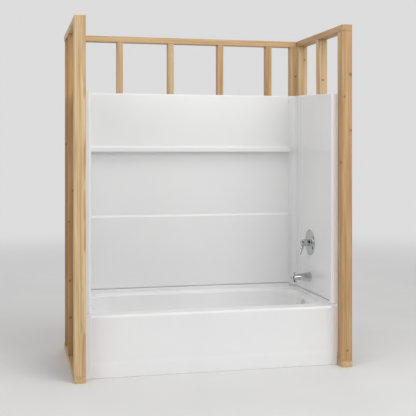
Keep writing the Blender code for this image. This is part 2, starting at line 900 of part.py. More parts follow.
end_panels = {}
for side in (-1, 1):
    name = f"{side_name[side]}_end_panel"
    shell = end_slab(name, side, end_profile[1:-1], panel_limit, back_limit, 0)
    inner = end_slab(
        f"{name}_hollow",
        side,
        inset(end_profile, panel_skin),
        panel_limit + overrun,
        back_limit + overrun,
        panel_skin,
    )
    end_panels[side] = cut(keep(shell, white_gloss), as_tool(inner), solver="MANIFOLD")

valve_hole = 0.046
spout_hole = 0.019
valve_hole_start = (end_wall_x - overrun, fitting_y, valve_z)
spout_hole_start = (end_wall_x - overrun, fitting_y, spout_z)
cut(
    end_panels[1],
    as_tool(rod("valve_hole", valve_hole_start, along_x, 3 * overrun, valve_hole, 32)),
    as_tool(rod("spout_hole", spout_hole_start, along_x, 3 * overrun, spout_hole)),
    solver="MANIFOLD",
)

# Ribs on the backs of the panels, which meet the studs
rib_wide = 0.030
rib_ease = 0.020
upper_zone = (shelf_top + cove + rib_ease, panel_top - panel_front_drop - rib_ease)
middle_zone = (step_z + lower_wall_step + rib_ease, shelf_bottom - cove - rib_ease)
lower_zone = (back_panel_bottom + rib_ease, step_z - lower_wall_step - rib_ease)
bm = bmesh.new()
for stud_x in inner_studs:
    for (low, high), face_y in ((upper_zone, wall_y), (middle_zone, wall_y), (lower_zone, lower_y)):
        add_box(
            bm,
            (stud_x - rib_wide / 2, face_y + panel_skin / 2, low),
            (stud_x + rib_wide / 2, back_limit, high),
        )
join(back_panel, as_tool(mesh_from(bm, "back_panel_ribs")))

for side in (-1, 1):
    bm = bmesh.new()
    middle = apron_y + middle_setback[side] + stud_thick / 2
    for low, high in (upper_zone, middle_zone, lower_zone):
        low_x, high_x = sorted((side * (end_wall_x + panel_skin / 2), side * panel_limit))
        low_y, high_y = middle - rib_wide / 2, middle + rib_wide / 2
        add_box(bm, (low_x, low_y, low), (high_x, high_y, high))
    join(end_panels[side], as_tool(mesh_from(bm, f"{side_name[side]}_panel_ribs")), solver="MANIFOLD")

# The mixing valve behind the panel, and its trim in front
pipe_radius = 0.0079
pipe_wall = 0.0011
valve_inset = 0.022
valve_x = side_x + valve_inset
body_radius = 0.027
body_standoff = 0.003
body_front = end_wall_x + panel_skin + body_standoff
cartridge_radius = 0.0175
cartridge_fit = 0.0003
port_radius = 0.0115
port_reach = 0.036
port_bore = pipe_radius + socket_clearance
port_deep = 0.012
cartridge_deep = 0.034
rose_screw_spread = 0.038
ear_thick = 0.004
ear_reach = 0.0425

body_back = backing_x - seat_gap
valve_back = (body_back, fitting_y, valve_z)
valve_body = keep(
    rod("valve_body", valve_back, into_room, body_back - body_front, body_radius, 24), brass
)
ears = box(
    "valve_ears",
    (body_front, fitting_y - ear_reach, valve_z - port_radius),
    (body_front + ear_thick, fitting_y + ear_reach, valve_z + port_radius),
)
join(valve_body, as_tool(ears))
port_turns = {"hot": (0, -1, 0), "cold": along_y, "shower": upwards, "spout": (0, 0, -1)}
valve_centre = Vector((valve_x, fitting_y, valve_z))
for name, direction in port_turns.items():
    port = rod(f"{name}_port", valve_centre, direction, port_reach, port_radius, 16)
    join(valve_body, as_tool(port))
for name, direction in port_turns.items():
    mouth = valve_centre + Vector(direction) * (port_reach - port_deep)
    bore = rod(f"{name}_port_bore", mouth, direction, port_deep + overrun, port_bore, 16)
    cut(valve_body, as_tool(bore))
cartridge_back = body_front + cartridge_deep
cut(
    valve_body,
    as_tool(
        rod(
            "cartridge_bore",
            (cartridge_back, fitting_y, valve_z),
            into_room,
            cartridge_deep + overrun,
            cartridge_radius + cartridge_fit,
            24,
        )
    ),
)

stem_radius = 0.0050
stem_fit = 0.0004
stem_deep = 0.014
cartridge_nose = 0.012
cartridge_front = body_front - cartridge_nose
cartridge = keep(
    rod(
        "valve_cartridge",
        (cartridge_back - seat_gap, fitting_y, valve_z),
        into_room,
        cartridge_back - seat_gap - cartridge_front,
        cartridge_radius,
        24,
    ),
    white_plastic,
)
cut(
    cartridge,
    as_tool(
        rod(
            "stem_bore",
            (cartridge_front + stem_deep, fitting_y, valve_z),
            into_room,
            stem_deep + overrun,
            stem_radius + stem_fit,
            24,
        )
    ),
)
bonnet_wall = 0.005
keep(
    ring(
        "bonnet_nut",
        cartridge_radius + cartridge_fit,
        cartridge_radius + bonnet_wall,
        seat_gap,
        seat_gap + cartridge_nose,
        (body_front, fitting_y, valve_z),
        into_room,
        24,
    ),
    brass,
)
plug_deep = port_deep - seat_gap
plug_head = 0.006
plug_base = valve_z + port_reach - plug_deep
plug_foot = (valve_x, fitting_y, plug_base)
plug_flange_foot = (valve_x, fitting_y, valve_z + port_reach + seat_gap)
shower_plug = keep(
    rod("shower_port_plug", plug_foot, upwards, plug_deep + plug_head, pipe_radius, 16), brass
)
plug_flange = rod("plug_flange", plug_flange_foot, upwards, plug_head, port_radius, 6)
join(shower_plug, as_tool(plug_flange))

rose_radius = 0.084
rose_dome = 0.011
rose_thick = 0.0015
rose_hole = 0.0235
rose_place = (end_wall_x - seat_gap, fitting_y, valve_z)
rose_front_shares = [(0.45, 0.92), (0.72, 0.75), (0.92, 0.45)]
rose_back_shares = [(0.91, 0.45), (0.71, 0.75), (0.44, 0.92)]
escutcheon = keep(
    turned(
        "escutcheon",
        [
            (rose_hole, rose_dome),
            *[(rose_radius * out, rose_dome * up) for out, up in rose_front_shares],
            (rose_radius, rose_thick),
            (rose_radius, 0),
            (rose_radius - rose_thick, 0),
            *[(rose_radius * out, rose_dome * up - rose_thick) for out, up in rose_back_shares],
            (rose_hole, rose_dome - rose_thick),
        ],
        rose_place,
        into_room,
        40,
        closed=True,
    ),
    chrome,
)
sleeve_wall = 0.0012
sleeve_long = 0.026
sleeve_inner = rose_hole - seat_gap - sleeve_wall
keep(
    ring(
        "trim_sleeve",
        sleeve_inner,
        rose_hole - seat_gap,
        rose_dome - rose_thick,
        rose_dome + sleeve_long,
        rose_place,
        into_room,
        32,
    ),
    chrome,
)
rose_seat_share = 0.95
rose_screws = [(fitting_y + turn * rose_screw_spread, valve_z) for turn in (-1, 1)]
rose_screw_face = end_wall_x - seat_gap - rose_dome * rose_seat_share
rose_screw_long = body_front + ear_thick - rose_screw_face
rose_holes = screw_holes("rose_screw_holes", rose_screw_face, rose_screws, rose_screw_long)
cut(escutcheon, rose_holes)
cut(valve_body, rose_holes)
for number, (y, z) in enumerate(rose_screws, 1):
    screw(f"escutcheon_screw_{number}", rose_screw_face - seat_gap, y, z, rose_screw_long)

# The lever handle hangs straight down when the water is off
hub_radius = 0.0215
hub_gap = 0.0010
hub_long = 0.028
handle_root = end_wall_x - seat_gap - rose_dome - sleeve_long - hub_gap
handle_place = (handle_root, fitting_y, valve_z)
hub_shares = [(0, 1), (0.55, 0.97), (0.86, 0.82), (1, 0.45), (1, 0), (0, 0)]
handle = keep(
    turned(
        "lever_handle",
        [(hub_radius * out, hub_long * up) for out, up in hub_shares],
        handle_place,
        into_room,
        28,
    ),
    chrome,
)
lever_long = 0.084
lever_lean = 0.026
lever_root_share = 0.45
lever_curve = 1.5
lever_sides = 12
lever_shares = [
    (0.0, 0.36, 0.30),
    (0.35, 0.34, 0.24),
    (0.75, 0.40, 0.20),
    (0.95, 0.42, 0.17),
    (1.0, 0.26, 0.10),
]
lever_rings = []
for share, wide_share, thick_share in lever_shares:
    centre_x = handle_root - hub_long * lever_root_share - lever_lean * share ** lever_curve
    centre_z = valve_z - lever_long * share
    row = []
    for i in range(lever_sides):
        angle = 2 * pi * i / lever_sides
        row.append(
            (
                centre_x + hub_radius * thick_share * cos(angle),
                fitting_y + hub_radius * wide_share * sin(angle),
                centre_z,
            )
        )
    lever_rings.append(row)
join(handle, as_tool(loft("lever_arm", lever_rings)))
socket_share = 0.6
handle_socket_deep = hub_long * socket_share
cut(
    handle,
    as_tool(
        rod(
            "handle_socket",
            (handle_root + overrun, fitting_y, valve_z),
            into_room,
            overrun + handle_socket_deep,
            stem_radius + seat_gap,
            24,
        )
    ),
)
stem_back = cartridge_front + stem_deep - seat_gap
stem_front = handle_root - handle_socket_deep + seat_gap
stem_start = (stem_back, fitting_y, valve_z)
keep(rod("valve_stem", stem_start, into_room, stem_back - stem_front, stem_radius, 24), brass)

# Copper supply and spout pipes in the wall
bend = 0.020
pipe_stop = 0.0005
pipe_low = 0.002
plate_hole = 0.011
supply_y = port_reach + bend - port_deep + pipe_stop


def supply_path(turn):
    port_end = fitting_y + turn * (port_reach - port_deep + pipe_stop)
    run_y = fitting_y + turn * (supply_y + port_deep)
    bend_points = arc((bend, 0), bend, 180, 90, 5)
    path = [(valve_x, run_y, pipe_low)]
    for across, up in bend_points:
        path.append((valve_x, run_y - turn * across, valve_z - bend + up))
    path.append((valve_x, port_end, valve_z))
    return path


for name, turn in (("hot_supply_pipe", -1), ("cold_supply_pipe", 1)):
    keep(tube(name, supply_path(turn), pipe_radius, pipe_wall), copper)
    hole_start = (valve_x, fitting_y + turn * (supply_y + port_deep), -overrun)
    hole = rod(f"{name}_hole", hole_start, upwards, stud_thick + 2 * overrun, plate_hole)
    cut(sole_plates[1], as_tool(hole))

elbow_radius = 0.0115
neck_radius = 0.0113
elbow_deep = 0.012
elbow_arm = 0.022
nipple_wall = 0.0016
nipple_reach = 0.030
keep(
    tube(
        "spout_drop_pipe",
        [
            (valve_x, fitting_y, valve_z - port_reach + port_deep - pipe_stop),
            (valve_x, fitting_y, spout_z + elbow_arm - elbow_deep + pipe_stop),
        ],
        pipe_radius,
        pipe_wall,
    ),
    copper,
)
elbow_back = (body_back, fitting_y, spout_z)
elbow_long = body_back - valve_x + elbow_arm
elbow_front = valve_x - elbow_arm
neck_foot = (valve_x, fitting_y, spout_z)
neck_bore_foot = (valve_x, fitting_y, spout_z + elbow_arm - elbow_deep)
elbow_mouth_back = (elbow_front + elbow_deep, fitting_y, spout_z)
elbow_bore_deep = elbow_deep + overrun
elbow = keep(rod("spout_elbow", elbow_back, into_room, elbow_long, elbow_radius, 16), brass)
join(elbow, as_tool(rod("elbow_neck", neck_foot, upwards, elbow_arm, neck_radius, 16)))
cut(
    elbow,
    as_tool(rod("elbow_neck_bore", neck_bore_foot, upwards, elbow_bore_deep, port_bore, 16)),
    as_tool(rod("elbow_mouth", elbow_mouth_back, into_room, elbow_bore_deep, port_bore, 16)),
)
nipple_back = elbow_front + elbow_deep - pipe_stop
nipple_front = end_wall_x - nipple_reach
keep(
    tube(
        "spout_nipple",
        [(nipple_back, fitting_y, spout_z), (nipple_front, fitting_y, spout_z)],
        pipe_radius,
        nipple_wall,
    ),
    brass,
)

# The spout with its pull-up diverter
spout_long = 0.130
spout_base = 0.0325
spout_shares = (
    (0.0, 1.0, 1.0, 0.0),
    (0.03, 1.0, 1.0, 0.0),
    (0.09, 0.88, 0.86, 0.0),
    (0.45, 0.74, 0.66, 0.02),
    (0.78, 0.66, 0.56, 0.0),
    (0.93, 0.60, 0.50, -0.10),
    (0.985, 0.48, 0.38, -0.22),
    (1.0, 0.30, 0.24, -0.30),
)
spout_sides = 20
spout_root = end_wall_x - seat_gap
spout_rings = []
for along, wide_share, high_share, lift_share in spout_shares:
    row = []
    for i in range(spout_sides):
        angle = 2 * pi * i / spout_sides
        row.append(
            (
                spout_root - spout_long * along,
                fitting_y + spout_base * wide_share * cos(angle),
                spout_z + spout_base * (lift_share + high_share * sin(angle)),
            )
        )
    spout_rings.append(row)
spout = keep(loft("tub_spout", spout_rings), chrome)
outlet_share = 0.84
outlet_x = spout_root - spout_long * outlet_share
outlet_root = 0.0162
outlet_radius = 0.0150
outlet_bore = 0.0125
outlet_drop = 0.034
lip = turned(
    "spout_lip",
    [(0, 0), (outlet_root, 0), (outlet_radius, -outlet_drop), (0, -outlet_drop)],
    (outlet_x, fitting_y, spout_z),
)
chamber_top = 0.0085
diverter_shaft = 0.0018
shaft_fit = 0.0005
join(spout, as_tool(lip))
cut(
    spout,
    as_tool(
        rod(
            "nipple_pocket",
            (spout_root + overrun, fitting_y, spout_z),
            into_room,
            overrun + nipple_reach + overrun / 2,
            pipe_radius + socket_clearance,
        )
    ),
    as_tool(
        rod(
            "water_way",
            (spout_root - nipple_reach, fitting_y, spout_z),
            into_room,
            spout_root - nipple_reach - outlet_x,
            pipe_radius - nipple_wall,
        )
    ),
    as_tool(
        rod(
            "outlet_way",
            (outlet_x, fitting_y, spout_z - outlet_drop - overrun),
            upwards,
            outlet_drop + overrun + chamber_top,
            outlet_bore,
        )
    ),
    as_tool(
        rod(
            "shaft_hole",
            (outlet_x, fitting_y, spout_z),
            upwards,
            spout_base,
            diverter_shaft + shaft_fit,
            12,
        )
    ),
)

gate_high = 0.0135
gate_thick = 0.0025
gate_wide = 0.013
gate_offset = 0.0085
gate_drop_share = 0.82
gate_low = spout_z - outlet_drop * gate_drop_share
knob_gap = 0.0006
crown_share = 0.57
spout_top = spout_z + spout_base * crown_share
knob_high = 0.013
knob_radius = 0.0058
knob_place = (outlet_x, fitting_y, spout_top + knob_gap)
gate = keep(
    box(
        "diverter_gate",
        (outlet_x + gate_offset - gate_thick / 2, fitting_y - gate_wide / 2, gate_low),
        (outlet_x + gate_offset + gate_thick / 2, fitting_y + gate_wide / 2, gate_low + gate_high),
    ),
    brass,
)
gate_arm = box(
    "gate_arm",
    (outlet_x - diverter_shaft, fitting_y - diverter_shaft, gate_low),
    (outlet_x + gate_offset, fitting_y + diverter_shaft, gate_low + gate_thick),
)
shaft_base = gate_low + gate_thick / 2
knob_socket_share = 0.6
shaft_top = knob_place[2] + knob_high * knob_socket_share
shaft_foot = (outlet_x, fitting_y, shaft_base)
gate_shaft = rod(
    "gate_shaft", shaft_foot, upwards, shaft_top - shaft_base, diverter_shaft, 12
)
join(gate, as_tool(gate_arm), as_tool(gate_shaft))
knob_shares = [(0, 1), (0.8, 0.96), (1, 0.8), (1, 0.5), (0.6, 0.3), (0.6, 0), (0, 0)]
knob = keep(
    turned(
        "diverter_knob",
        [(knob_radius * out, knob_high * up) for out, up in knob_shares],
        knob_place,
        upwards,
        20,
    ),
    chrome,
)
cut(
    knob,
    as_tool(
        rod(
            "knob_socket",
            (outlet_x, fitting_y, knob_place[2] - overrun),
            upwards,
            overrun + knob_high * knob_socket_share + seat_gap,
            diverter_shaft + seat_gap,
            12,
        )
    ),
)

for obj in parts.objects:
    if obj.type == "MESH":
        obj.data.set_sharp_from_angle(angle=radians(35))
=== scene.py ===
# Tub and shower unit: a moulded bath and its three wall panels in the stud frame that carries
# them, with their taps and waste. Metres, +Z up, the apron towards -Y.

import random
from math import copysign, cos, pi, radians, sin

import bmesh
import bpy
from mathutils import Matrix, Vector


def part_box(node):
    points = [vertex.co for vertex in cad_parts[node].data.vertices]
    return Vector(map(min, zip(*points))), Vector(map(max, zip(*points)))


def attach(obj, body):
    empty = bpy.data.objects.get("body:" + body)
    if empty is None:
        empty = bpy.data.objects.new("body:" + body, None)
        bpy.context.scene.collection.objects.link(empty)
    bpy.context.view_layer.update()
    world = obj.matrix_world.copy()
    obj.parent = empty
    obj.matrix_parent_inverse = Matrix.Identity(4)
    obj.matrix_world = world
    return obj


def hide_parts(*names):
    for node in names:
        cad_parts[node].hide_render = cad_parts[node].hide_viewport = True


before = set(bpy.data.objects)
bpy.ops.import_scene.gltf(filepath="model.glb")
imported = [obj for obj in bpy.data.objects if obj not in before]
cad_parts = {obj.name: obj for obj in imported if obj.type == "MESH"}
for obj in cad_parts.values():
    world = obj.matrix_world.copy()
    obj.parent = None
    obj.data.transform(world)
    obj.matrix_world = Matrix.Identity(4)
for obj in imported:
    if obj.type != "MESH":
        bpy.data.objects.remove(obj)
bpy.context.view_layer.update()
scene = bpy.context.scene

# The camera and the floor: a level camera at a standing person's chest height, before a pale floor
# that takes the unit's shadow and fades into the surround far off.
camera = bpy.data.objects.new("camera", bpy.data.cameras.new("camera"))
camera.location = (-1.1761, -5.2356, 1.291)
camera.rotation_euler = (radians(90), 0, radians(-13.107))
camera.data.lens = 73.72
camera.data.shift_y = -0.1349
scene.collection.objects.link(camera)
scene.camera = camera
scene.view_settings.view_transform = "Standard"


def new_material(name):
    """A material and its shader."""
    made = bpy.data.materials.new(name)
    made.use_nodes = True
    return made, made.node_tree.nodes["Principled BSDF"]


def feed(made, value, node, socket):
    """Sets a node's input to a value, or links it to another node's output."""
    if isinstance(value, bpy.types.NodeSocket):
        made.node_tree.links.new(value, node.inputs[socket])
    else:
        node.inputs[socket].default_value = value


def add_node(made, kind, feeds=None, **settings):
    """A node in a material or in the world, with what feeds its inputs."""
    node = made.node_tree.nodes.new(kind)
    for key, value in settings.items():
        setattr(node, key, value)
    for socket, value in (feeds or {}).items():
        feed(made, value, node, socket)
    return node


def sum_up(made, operation, first, second=0.5):
    """The output of one sum on numbers."""
    return add_node(made, "ShaderNodeMath", {0: first, 1: second}, operation=operation).outputs[0]


def sum_places(made, operation, feeds, output=0):
    """The output of one sum on places."""
    return add_node(made, "ShaderNodeVectorMath", feeds, operation=operation).outputs[output]


def span(made, value, low, high, from_low=0.0, from_high=1.0, **settings):
    """A number carried from one range to another."""
    feeds = {0: value, 1: from_low, 2: from_high, 3: low, 4: high}
    return add_node(made, "ShaderNodeMapRange", feeds, **settings).outputs[0]


def object_place(made):
    """Where a point lies in its own object."""
    return add_node(made, "ShaderNodeTexCoord").outputs["Object"]


def noise(made, place, scale, detail=2.0, output=0):
    """Cloudy noise over a place."""
    feeds = {"Vector": place, "Scale": scale, "Detail": detail}
    return add_node(made, "ShaderNodeTexNoise", feeds).outputs[output]


def shades(made, level, *stops):
    """A colour ramp over a level, its stops given as (place, (red, green, blue))."""
    ramp = add_node(made, "ShaderNodeValToRGB", {"Fac": level})
    band = ramp.color_ramp
    while len(band.elements) < len(stops):
        band.elements.new(0.5)
    for element, (place, colour) in zip(band.elements, stops):
        element.position = place
        element.color = (*colour, 1.0)
    return ramp.outputs["Color"]


def seen_rays(made):
    """1 for the rays that bring a surface to the camera, straight, mirrored or through glass."""
    rays = add_node(made, "ShaderNodeLightPath").outputs
    seen = sum_up(made, "MAXIMUM", rays["Is Camera Ray"], rays["Is Glossy Ray"])
    return sum_up(made, "MAXIMUM", seen, rays["Is Transmission Ray"])


def turns(count):
    """Evenly spaced angles, once round."""
    return [2 * pi * i / count for i in range(count)]


def studio_sheet(name, points, faces, paint):
    """A surface of the studio, apart from the object."""
    mesh = bpy.data.meshes.new(name)
    mesh.from_pydata(points, [], faces)
    mesh.materials.append(paint)
    made = bpy.data.objects.new(name, mesh)
    scene.collection.objects.link(made)
    return made


surround_level = 0.72
floor_reach = 40
floor_paint, floor_shader = new_material("floor_paint")
floor_place = object_place(floor_paint)
floor_clouds = noise(floor_paint, floor_place, 1.5, 3.0)
floor_colour = shades(
    floor_paint, floor_clouds, (0.3, (0.70, 0.70, 0.70)), (0.7, (0.73, 0.73, 0.73))
)
feed(floor_paint, floor_colour, floor_shader, "Base Color")
feed(floor_paint, 0.75, floor_shader, "Roughness")
floor_far = sum_places(floor_paint, "LENGTH", {0: floor_place}, "Value")
floor_fade = span(floor_paint, floor_far, 0.0, 1.0, 2.0, 9.0, interpolation_type="SMOOTHSTEP")
floor_glow = add_node(
    floor_paint, "ShaderNodeEmission", {"Color": (1, 1, 1, 1), "Strength": surround_level}
)
floor_mix = add_node(
    floor_paint,
    "ShaderNodeMixShader",
    {
        0: sum_up(floor_paint, "MULTIPLY", floor_fade, seen_rays(floor_paint)),
        1: floor_shader.outputs[0],
        2: floor_glow.outputs[0],
    },
)
feed(floor_paint, floor_mix.outputs[0], floor_paint.node_tree.nodes["Material Output"], "Surface")
floor_rim = [(floor_reach * cos(angle), floor_reach * sin(angle), 0) for angle in turns(96)]
studio_floor = studio_sheet("studio_floor", floor_rim, [list(range(96))], floor_paint)

# The light: broad soft lamps in an even pale surround. A dark card that only mirrors see runs out
# along the floor, up behind the camera and over it, and gives the chrome its dark bands.
world = bpy.data.worlds.new("surround")
scene.world = world
world.use_nodes = True
sky = world.node_tree.nodes["Background"]
feed(world, (1.0, 1.0, 1.0, 1.0), sky, "Color")
feed(world, span(world, seen_rays(world), 0.48, surround_level), sky, "Strength")

for name, place, aim, size, power in (
    ("front_lamp", (2.2, -4.7, 3.2), (-0.2, 0, 0.7), (3.6, 2.5), 99),
    ("side_lamp", (-4.5, -3.4, 2.4), (0.3, 0, 0.5), (2.5, 2.0), 54),
    ("back_lamp", (0.5, 4.5, 3.8), (0, 0, 1.0), (4.0, 2.0), 50),
    ("top_lamp", (0.2, -2.0, 5.6), (0, -0.1, 0.5), (3.2, 2.6), 90),
):
    lamp = bpy.data.objects.new(name, bpy.data.lights.new(name, "AREA"))
    lamp.data.shape = "RECTANGLE"
    lamp.data.size, lamp.data.size_y = size
    lamp.data.energy = power
    lamp.location = place
    lamp.rotation_euler = (Vector(aim) - Vector(place)).to_track_quat("-Z", "Y").to_euler()
    lamp.visible_glossy = name != "top_lamp"
    scene.collection.objects.link(lamp)

card_half = 9.5
card_line = [(-1.4, 0.012), (-6.0, 0.012), (-7.2, 0.5), (-7.8, 2.0)]
card_line += [(-7.6, 4.0), (-6.6, 6.0), (-4.4, 7.4), (-2.6, 7.8)]
count = len(card_line)
card_paint, card_shader = new_material("dark_card")
card_clouds = noise(card_paint, object_place(card_paint), 2.0)
card_colour = shades(card_paint, card_clouds, (0.3, (0.02, 0.02, 0.02)), (0.7, (0.03, 0.03, 0.03)))
feed(card_paint, card_colour, card_shader, "Base Color")
feed(card_paint, 0.9, card_shader, "Roughness")
dark_card = studio_sheet(
    "dark_card",
    [(x, y, z) for x in (-card_half, card_half) for y, z in card_line],
    [[i, i + 1, i + count + 1, i + count] for i in range(count - 1)],
    card_paint,
)
dark_card.visible_camera = dark_card.visible_diffuse = dark_card.visible_shadow = False
dark_card.visible_transmission = False

# The frame: planed pine boards, sawn square and sanded along their edges, nailed up into two
# side frames and a back frame. Each board is cut from its own log, so its rings are its own.
edge_easing = 0.0022
ring_pitch = 0.0046
board_nodes = [
    "back_ledger",
    "back_sole_plate",
    "back_top_plate",
    *[f"back_stud_{number}" for number in range(1, 7)],
    *[
        f"{side}_{board}"
        for side in ("left", "right")
        for board in ("sole_plate", "top_plate", "front_post", "middle_stud", "rear_stud")
    ],
    "pipe_backing_board",
]
pine, pine_shader = new_material("bare_pine")


def board_mark(mark):
    """A value that each board carries at its points."""
    return add_node(pine, "ShaderNodeAttribute", attribute_name=mark).outputs["Vector"]


def drawn_out(place, share):
    """A place in the log, drawn out along the grain."""
    return add_node(pine, "ShaderNodeMapping", {0: place, "Scale": (1, 1, share)}).outputs[0]


def blend_colours(made, way, amount, first, second):
    """Two colours laid over each other."""
    feeds = {0: amount, 6: first, 7: second}
    return add_node(made, "ShaderNodeMix", feeds, data_type="RGBA", blend_type=way).outputs[2]


def roughen(made, shader, height, strength, distance):
    """Gives a surface a fine relief."""
    feeds = {"Height": height, "Strength": strength, "Distance": distance}
    feed(made, add_node(made, "ShaderNodeBump", feeds).outputs[0], shader, "Normal")


pine_place = object_place(pine)
# The third value of each board's cut mark is its tone: a random tone, or painted light or painted shade on
# the listed boards.
pith_x, pith_y, tone_and_painted_light = add_node(pine, "ShaderNodeSeparateXYZ", {0: board_mark("cut")}).outputs
pith_shift = add_node(pine, "ShaderNodeCombineXYZ", {0: pith_x, 1: pith_y}).outputs[0]
log_place = sum_places(pine, "ADD", {0: pine_place, 1: pith_shift})
long_place = drawn_out(log_place, 0.12)
bend_noise = noise(pine, long_place, 9.0, 1.0, "Color")
bend = sum_places(pine, "SCALE", {0: bend_noise, "Scale": 0.008})
knot_cells = add_node(pine, "ShaderNodeTexVoronoi", {"Vector": log_place, "Scale": 5.5})
knot_far = knot_cells.outputs["Distance"]
for number in range(4):
    knot_middle = board_mark(f"knot_{number}")
    knot_reach = sum_places(pine, "DISTANCE", {0: pine_place, 1: knot_middle}, "Value")
    knot_far = sum_up(pine, "MINIMUM", knot_far, sum_up(pine, "MULTIPLY", knot_reach, 9.0))
rings = add_node(
    pine,
    "ShaderNodeTexWave",
    {
        "Vector": sum_places(pine, "ADD", {0: long_place, 1: bend}),
        "Scale": 2 * pi / 20 / ring_pitch,
        "Distortion": 2.2,
        "Detail": 2.0,
        "Detail Scale": 0.35,
        "Phase Offset": span(pine, knot_far, 3.0, 0.0, 0.05, 0.20),
    },
    wave_type="RINGS",
    rings_direction="Z",
    wave_profile="SAW",
).outputs["Fac"]
fibres = noise(pine, drawn_out(log_place, 0.02), 620.0)
patches = noise(pine, long_place, 22.0)
bands = noise(pine, drawn_out(log_place, 0.025), 95.0, 3.0)
grained = shades(
    pine,
    rings,
    (0.0, (0.64, 0.47, 0.262)),
    (0.55, (0.615, 0.43, 0.228)),
    (0.88, (0.51, 0.325, 0.15)),
    (0.97, (0.46, 0.28, 0.118)),
    (1.0, (0.625, 0.455, 0.245)),
)
for amount, level, *stops in (
    (0.85, patches, (0.30, (0.84, 0.78, 0.70)), (0.68, (1.0, 1.0, 1.0))),
    (0.8, fibres, (0.30, (0.90, 0.88, 0.85)), (0.66, (1.0, 1.0, 1.0))),
    (0.65, bands, (0.36, (0.76, 0.66, 0.52)), (0.52, (1.0, 0.99, 0.98)), (0.68, (1.12, 1.10, 1.06))),
):
    grained = blend_colours(pine, "MULTIPLY", amount, grained, shades(pine, level, *stops))
toned = add_node(
    pine,
    "ShaderNodeHueSaturation",
    {
        "Color": grained,
        "Hue": span(pine, tone_and_painted_light, 0.488, 0.506, 0.84, 1.16),
        "Saturation": span(pine, tone_and_painted_light, 1.20, 0.92, 0.80, 1.12),
        "Value": tone_and_painted_light,
    },
).outputs[0]
knot_edge = shades(
    pine, knot_far, (0.0, (1.0, 1.0, 1.0)), (0.055, (0.9, 0.9, 0.9)), (0.075, (0.0, 0.0, 0.0))
)
knot_rings = sum_up(pine, "SINE", sum_up(pine, "MULTIPLY", knot_far, 420.0))
knot_colour = shades(pine, knot_rings, (0.2, (0.21, 0.10, 0.045)), (0.9, (0.34, 0.18, 0.085)))
feed(pine, blend_colours(pine, "MIX", knot_edge, toned, knot_colour), pine_shader, "Base Color")
feed(pine, span(pine, rings, 0.58, 0.46), pine_shader, "Roughness")
roughen(pine, pine_shader, blend_colours(pine, "MIX", 0.4, fibres, rings), 0.25, 0.0006)

upwards, outwards, into_room, inwards = (0, 0, 1), (1, 0, 0), (-1, 0, 0), (0, 1, 0)


def object_from(bm, name, outer_faces=True):
    """One mesh object from a bmesh, as a rule with its faces turned outwards."""
    if outer_faces:
        bmesh.ops.recalc_face_normals(bm, faces=bm.faces)
    mesh = bpy.data.meshes.new(name)
    bm.to_mesh(mesh)
    bm.free()
    return bpy.data.objects.new(name, mesh)


def settle(obj, material, *nodes, body="unit", angle=40):
    """Shades a finished piece, and puts it on its body in place of its CAD nodes.

    Blender puts a dot and a number after a name that a CAD material already has.
    """
    if obj.name not in scene.collection.objects:
        scene.collection.objects.link(obj)
    obj.data.shade_smooth()
    obj.data.set_sharp_from_angle(angle=radians(angle))
    obj.modifiers.new("even_normals", "WEIGHTED_NORMAL").keep_sharp = True
    obj.data.materials.clear()
    obj.data.materials.append(material)
    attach(obj, body)
    if nodes:
        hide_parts(*nodes)


def baked(obj):
    """Turns an object's modifiers into its mesh."""
    if obj.name not in scene.collection.objects:
        scene.collection.objects.link(obj)
    bpy.context.view_layer.update()
    shaped = obj.evaluated_get(bpy.context.evaluated_depsgraph_get())
    mesh = bpy.data.meshes.new_from_object(shaped)
    made = bpy.data.objects.new(f"{obj.name}_made", mesh)
    made.matrix_world = obj.matrix_world
    name = obj.name
    bpy.data.objects.remove(obj)
    made.name = mesh.name = name
    scene.collection.objects.link(made)
    return made


def cleaned(mesh):
    """Takes out the slivers that a cut leaves."""
    bm = bmesh.new()
    bm.from_mesh(mesh)
    bmesh.ops.remove_doubles(bm, verts=bm.verts, dist=0.00002)
    bmesh.ops.dissolve_degenerate(bm, edges=bm.edges, dist=0.00001)
    loose = [edge for edge in bm.edges if not edge.link_faces]
    bmesh.ops.delete(bm, geom=loose, context="EDGES")
    bm.to_mesh(mesh)
    bm.free()


def cut_away(obj, *cutters, operation="DIFFERENCE"):
    """Cuts shapes out of an object, or joins them to it, and throws the shapes away."""
    for cutter in cutters:
        scene.collection.objects.link(cutter)
        change = obj.modifiers.new(cutter.name, "BOOLEAN")
        change.operation = operation
        change.solver = "MANIFOLD"
        change.object = cutter
    made = baked(obj)
    for cutter in cutters:
        bpy.data.objects.remove(cutter)
    cleaned(made.data)
    return made


def facing(direction):
    """The turn that takes +Z to a direction."""
    return Vector((0, 0, 1)).rotation_difference(Vector(direction)).to_matrix().to_4x4()


def rounded(points, easing, steps=4, closed=False):
    """A line with its corners rounded over."""
    made = []
    for i, place in enumerate(points):
        if not closed and i in (0, len(points) - 1):
            made.append(tuple(place))
            continue
        here, before, after = [Vector(points[j % len(points)]) for j in (i, i - 1, i + 1)]
        reach = min(easing, (before - here).length / 2.1, (after - here).length / 2.1)
        entry = here + (before - here).normalized() * reach
        leave = here + (after - here).normalized() * reach
        for step in range(steps + 1):
            share = step / steps
            made.append(tuple(entry.lerp(here, share).lerp(here.lerp(leave, share), share)))
    return made


def bridge(bm, rows, closed=False, rings=True):
    """Faces between rows of as many points each. The rows are rings, or else open lines."""
    for one, other in zip(rows, rows[1:] + (rows[:1] if closed else [])):
        for i in range(len(one) if rings else len(one) - 1):
            j = (i + 1) % len(one)
            bm.faces.new((one[i], one[j], other[j], other[i]))


def loft(name, sections, closed=False):
    """A solid through rings of points, closed on itself or else with an end face at each end."""
    bm = bmesh.new()
    rows = [[bm.verts.new(point) for point in section] for section in sections]
    bridge(bm, rows, closed)
    if not closed:
        bm.faces.new(rows[0])
        bm.faces.new(rows[-1])
    return object_from(bm, name)


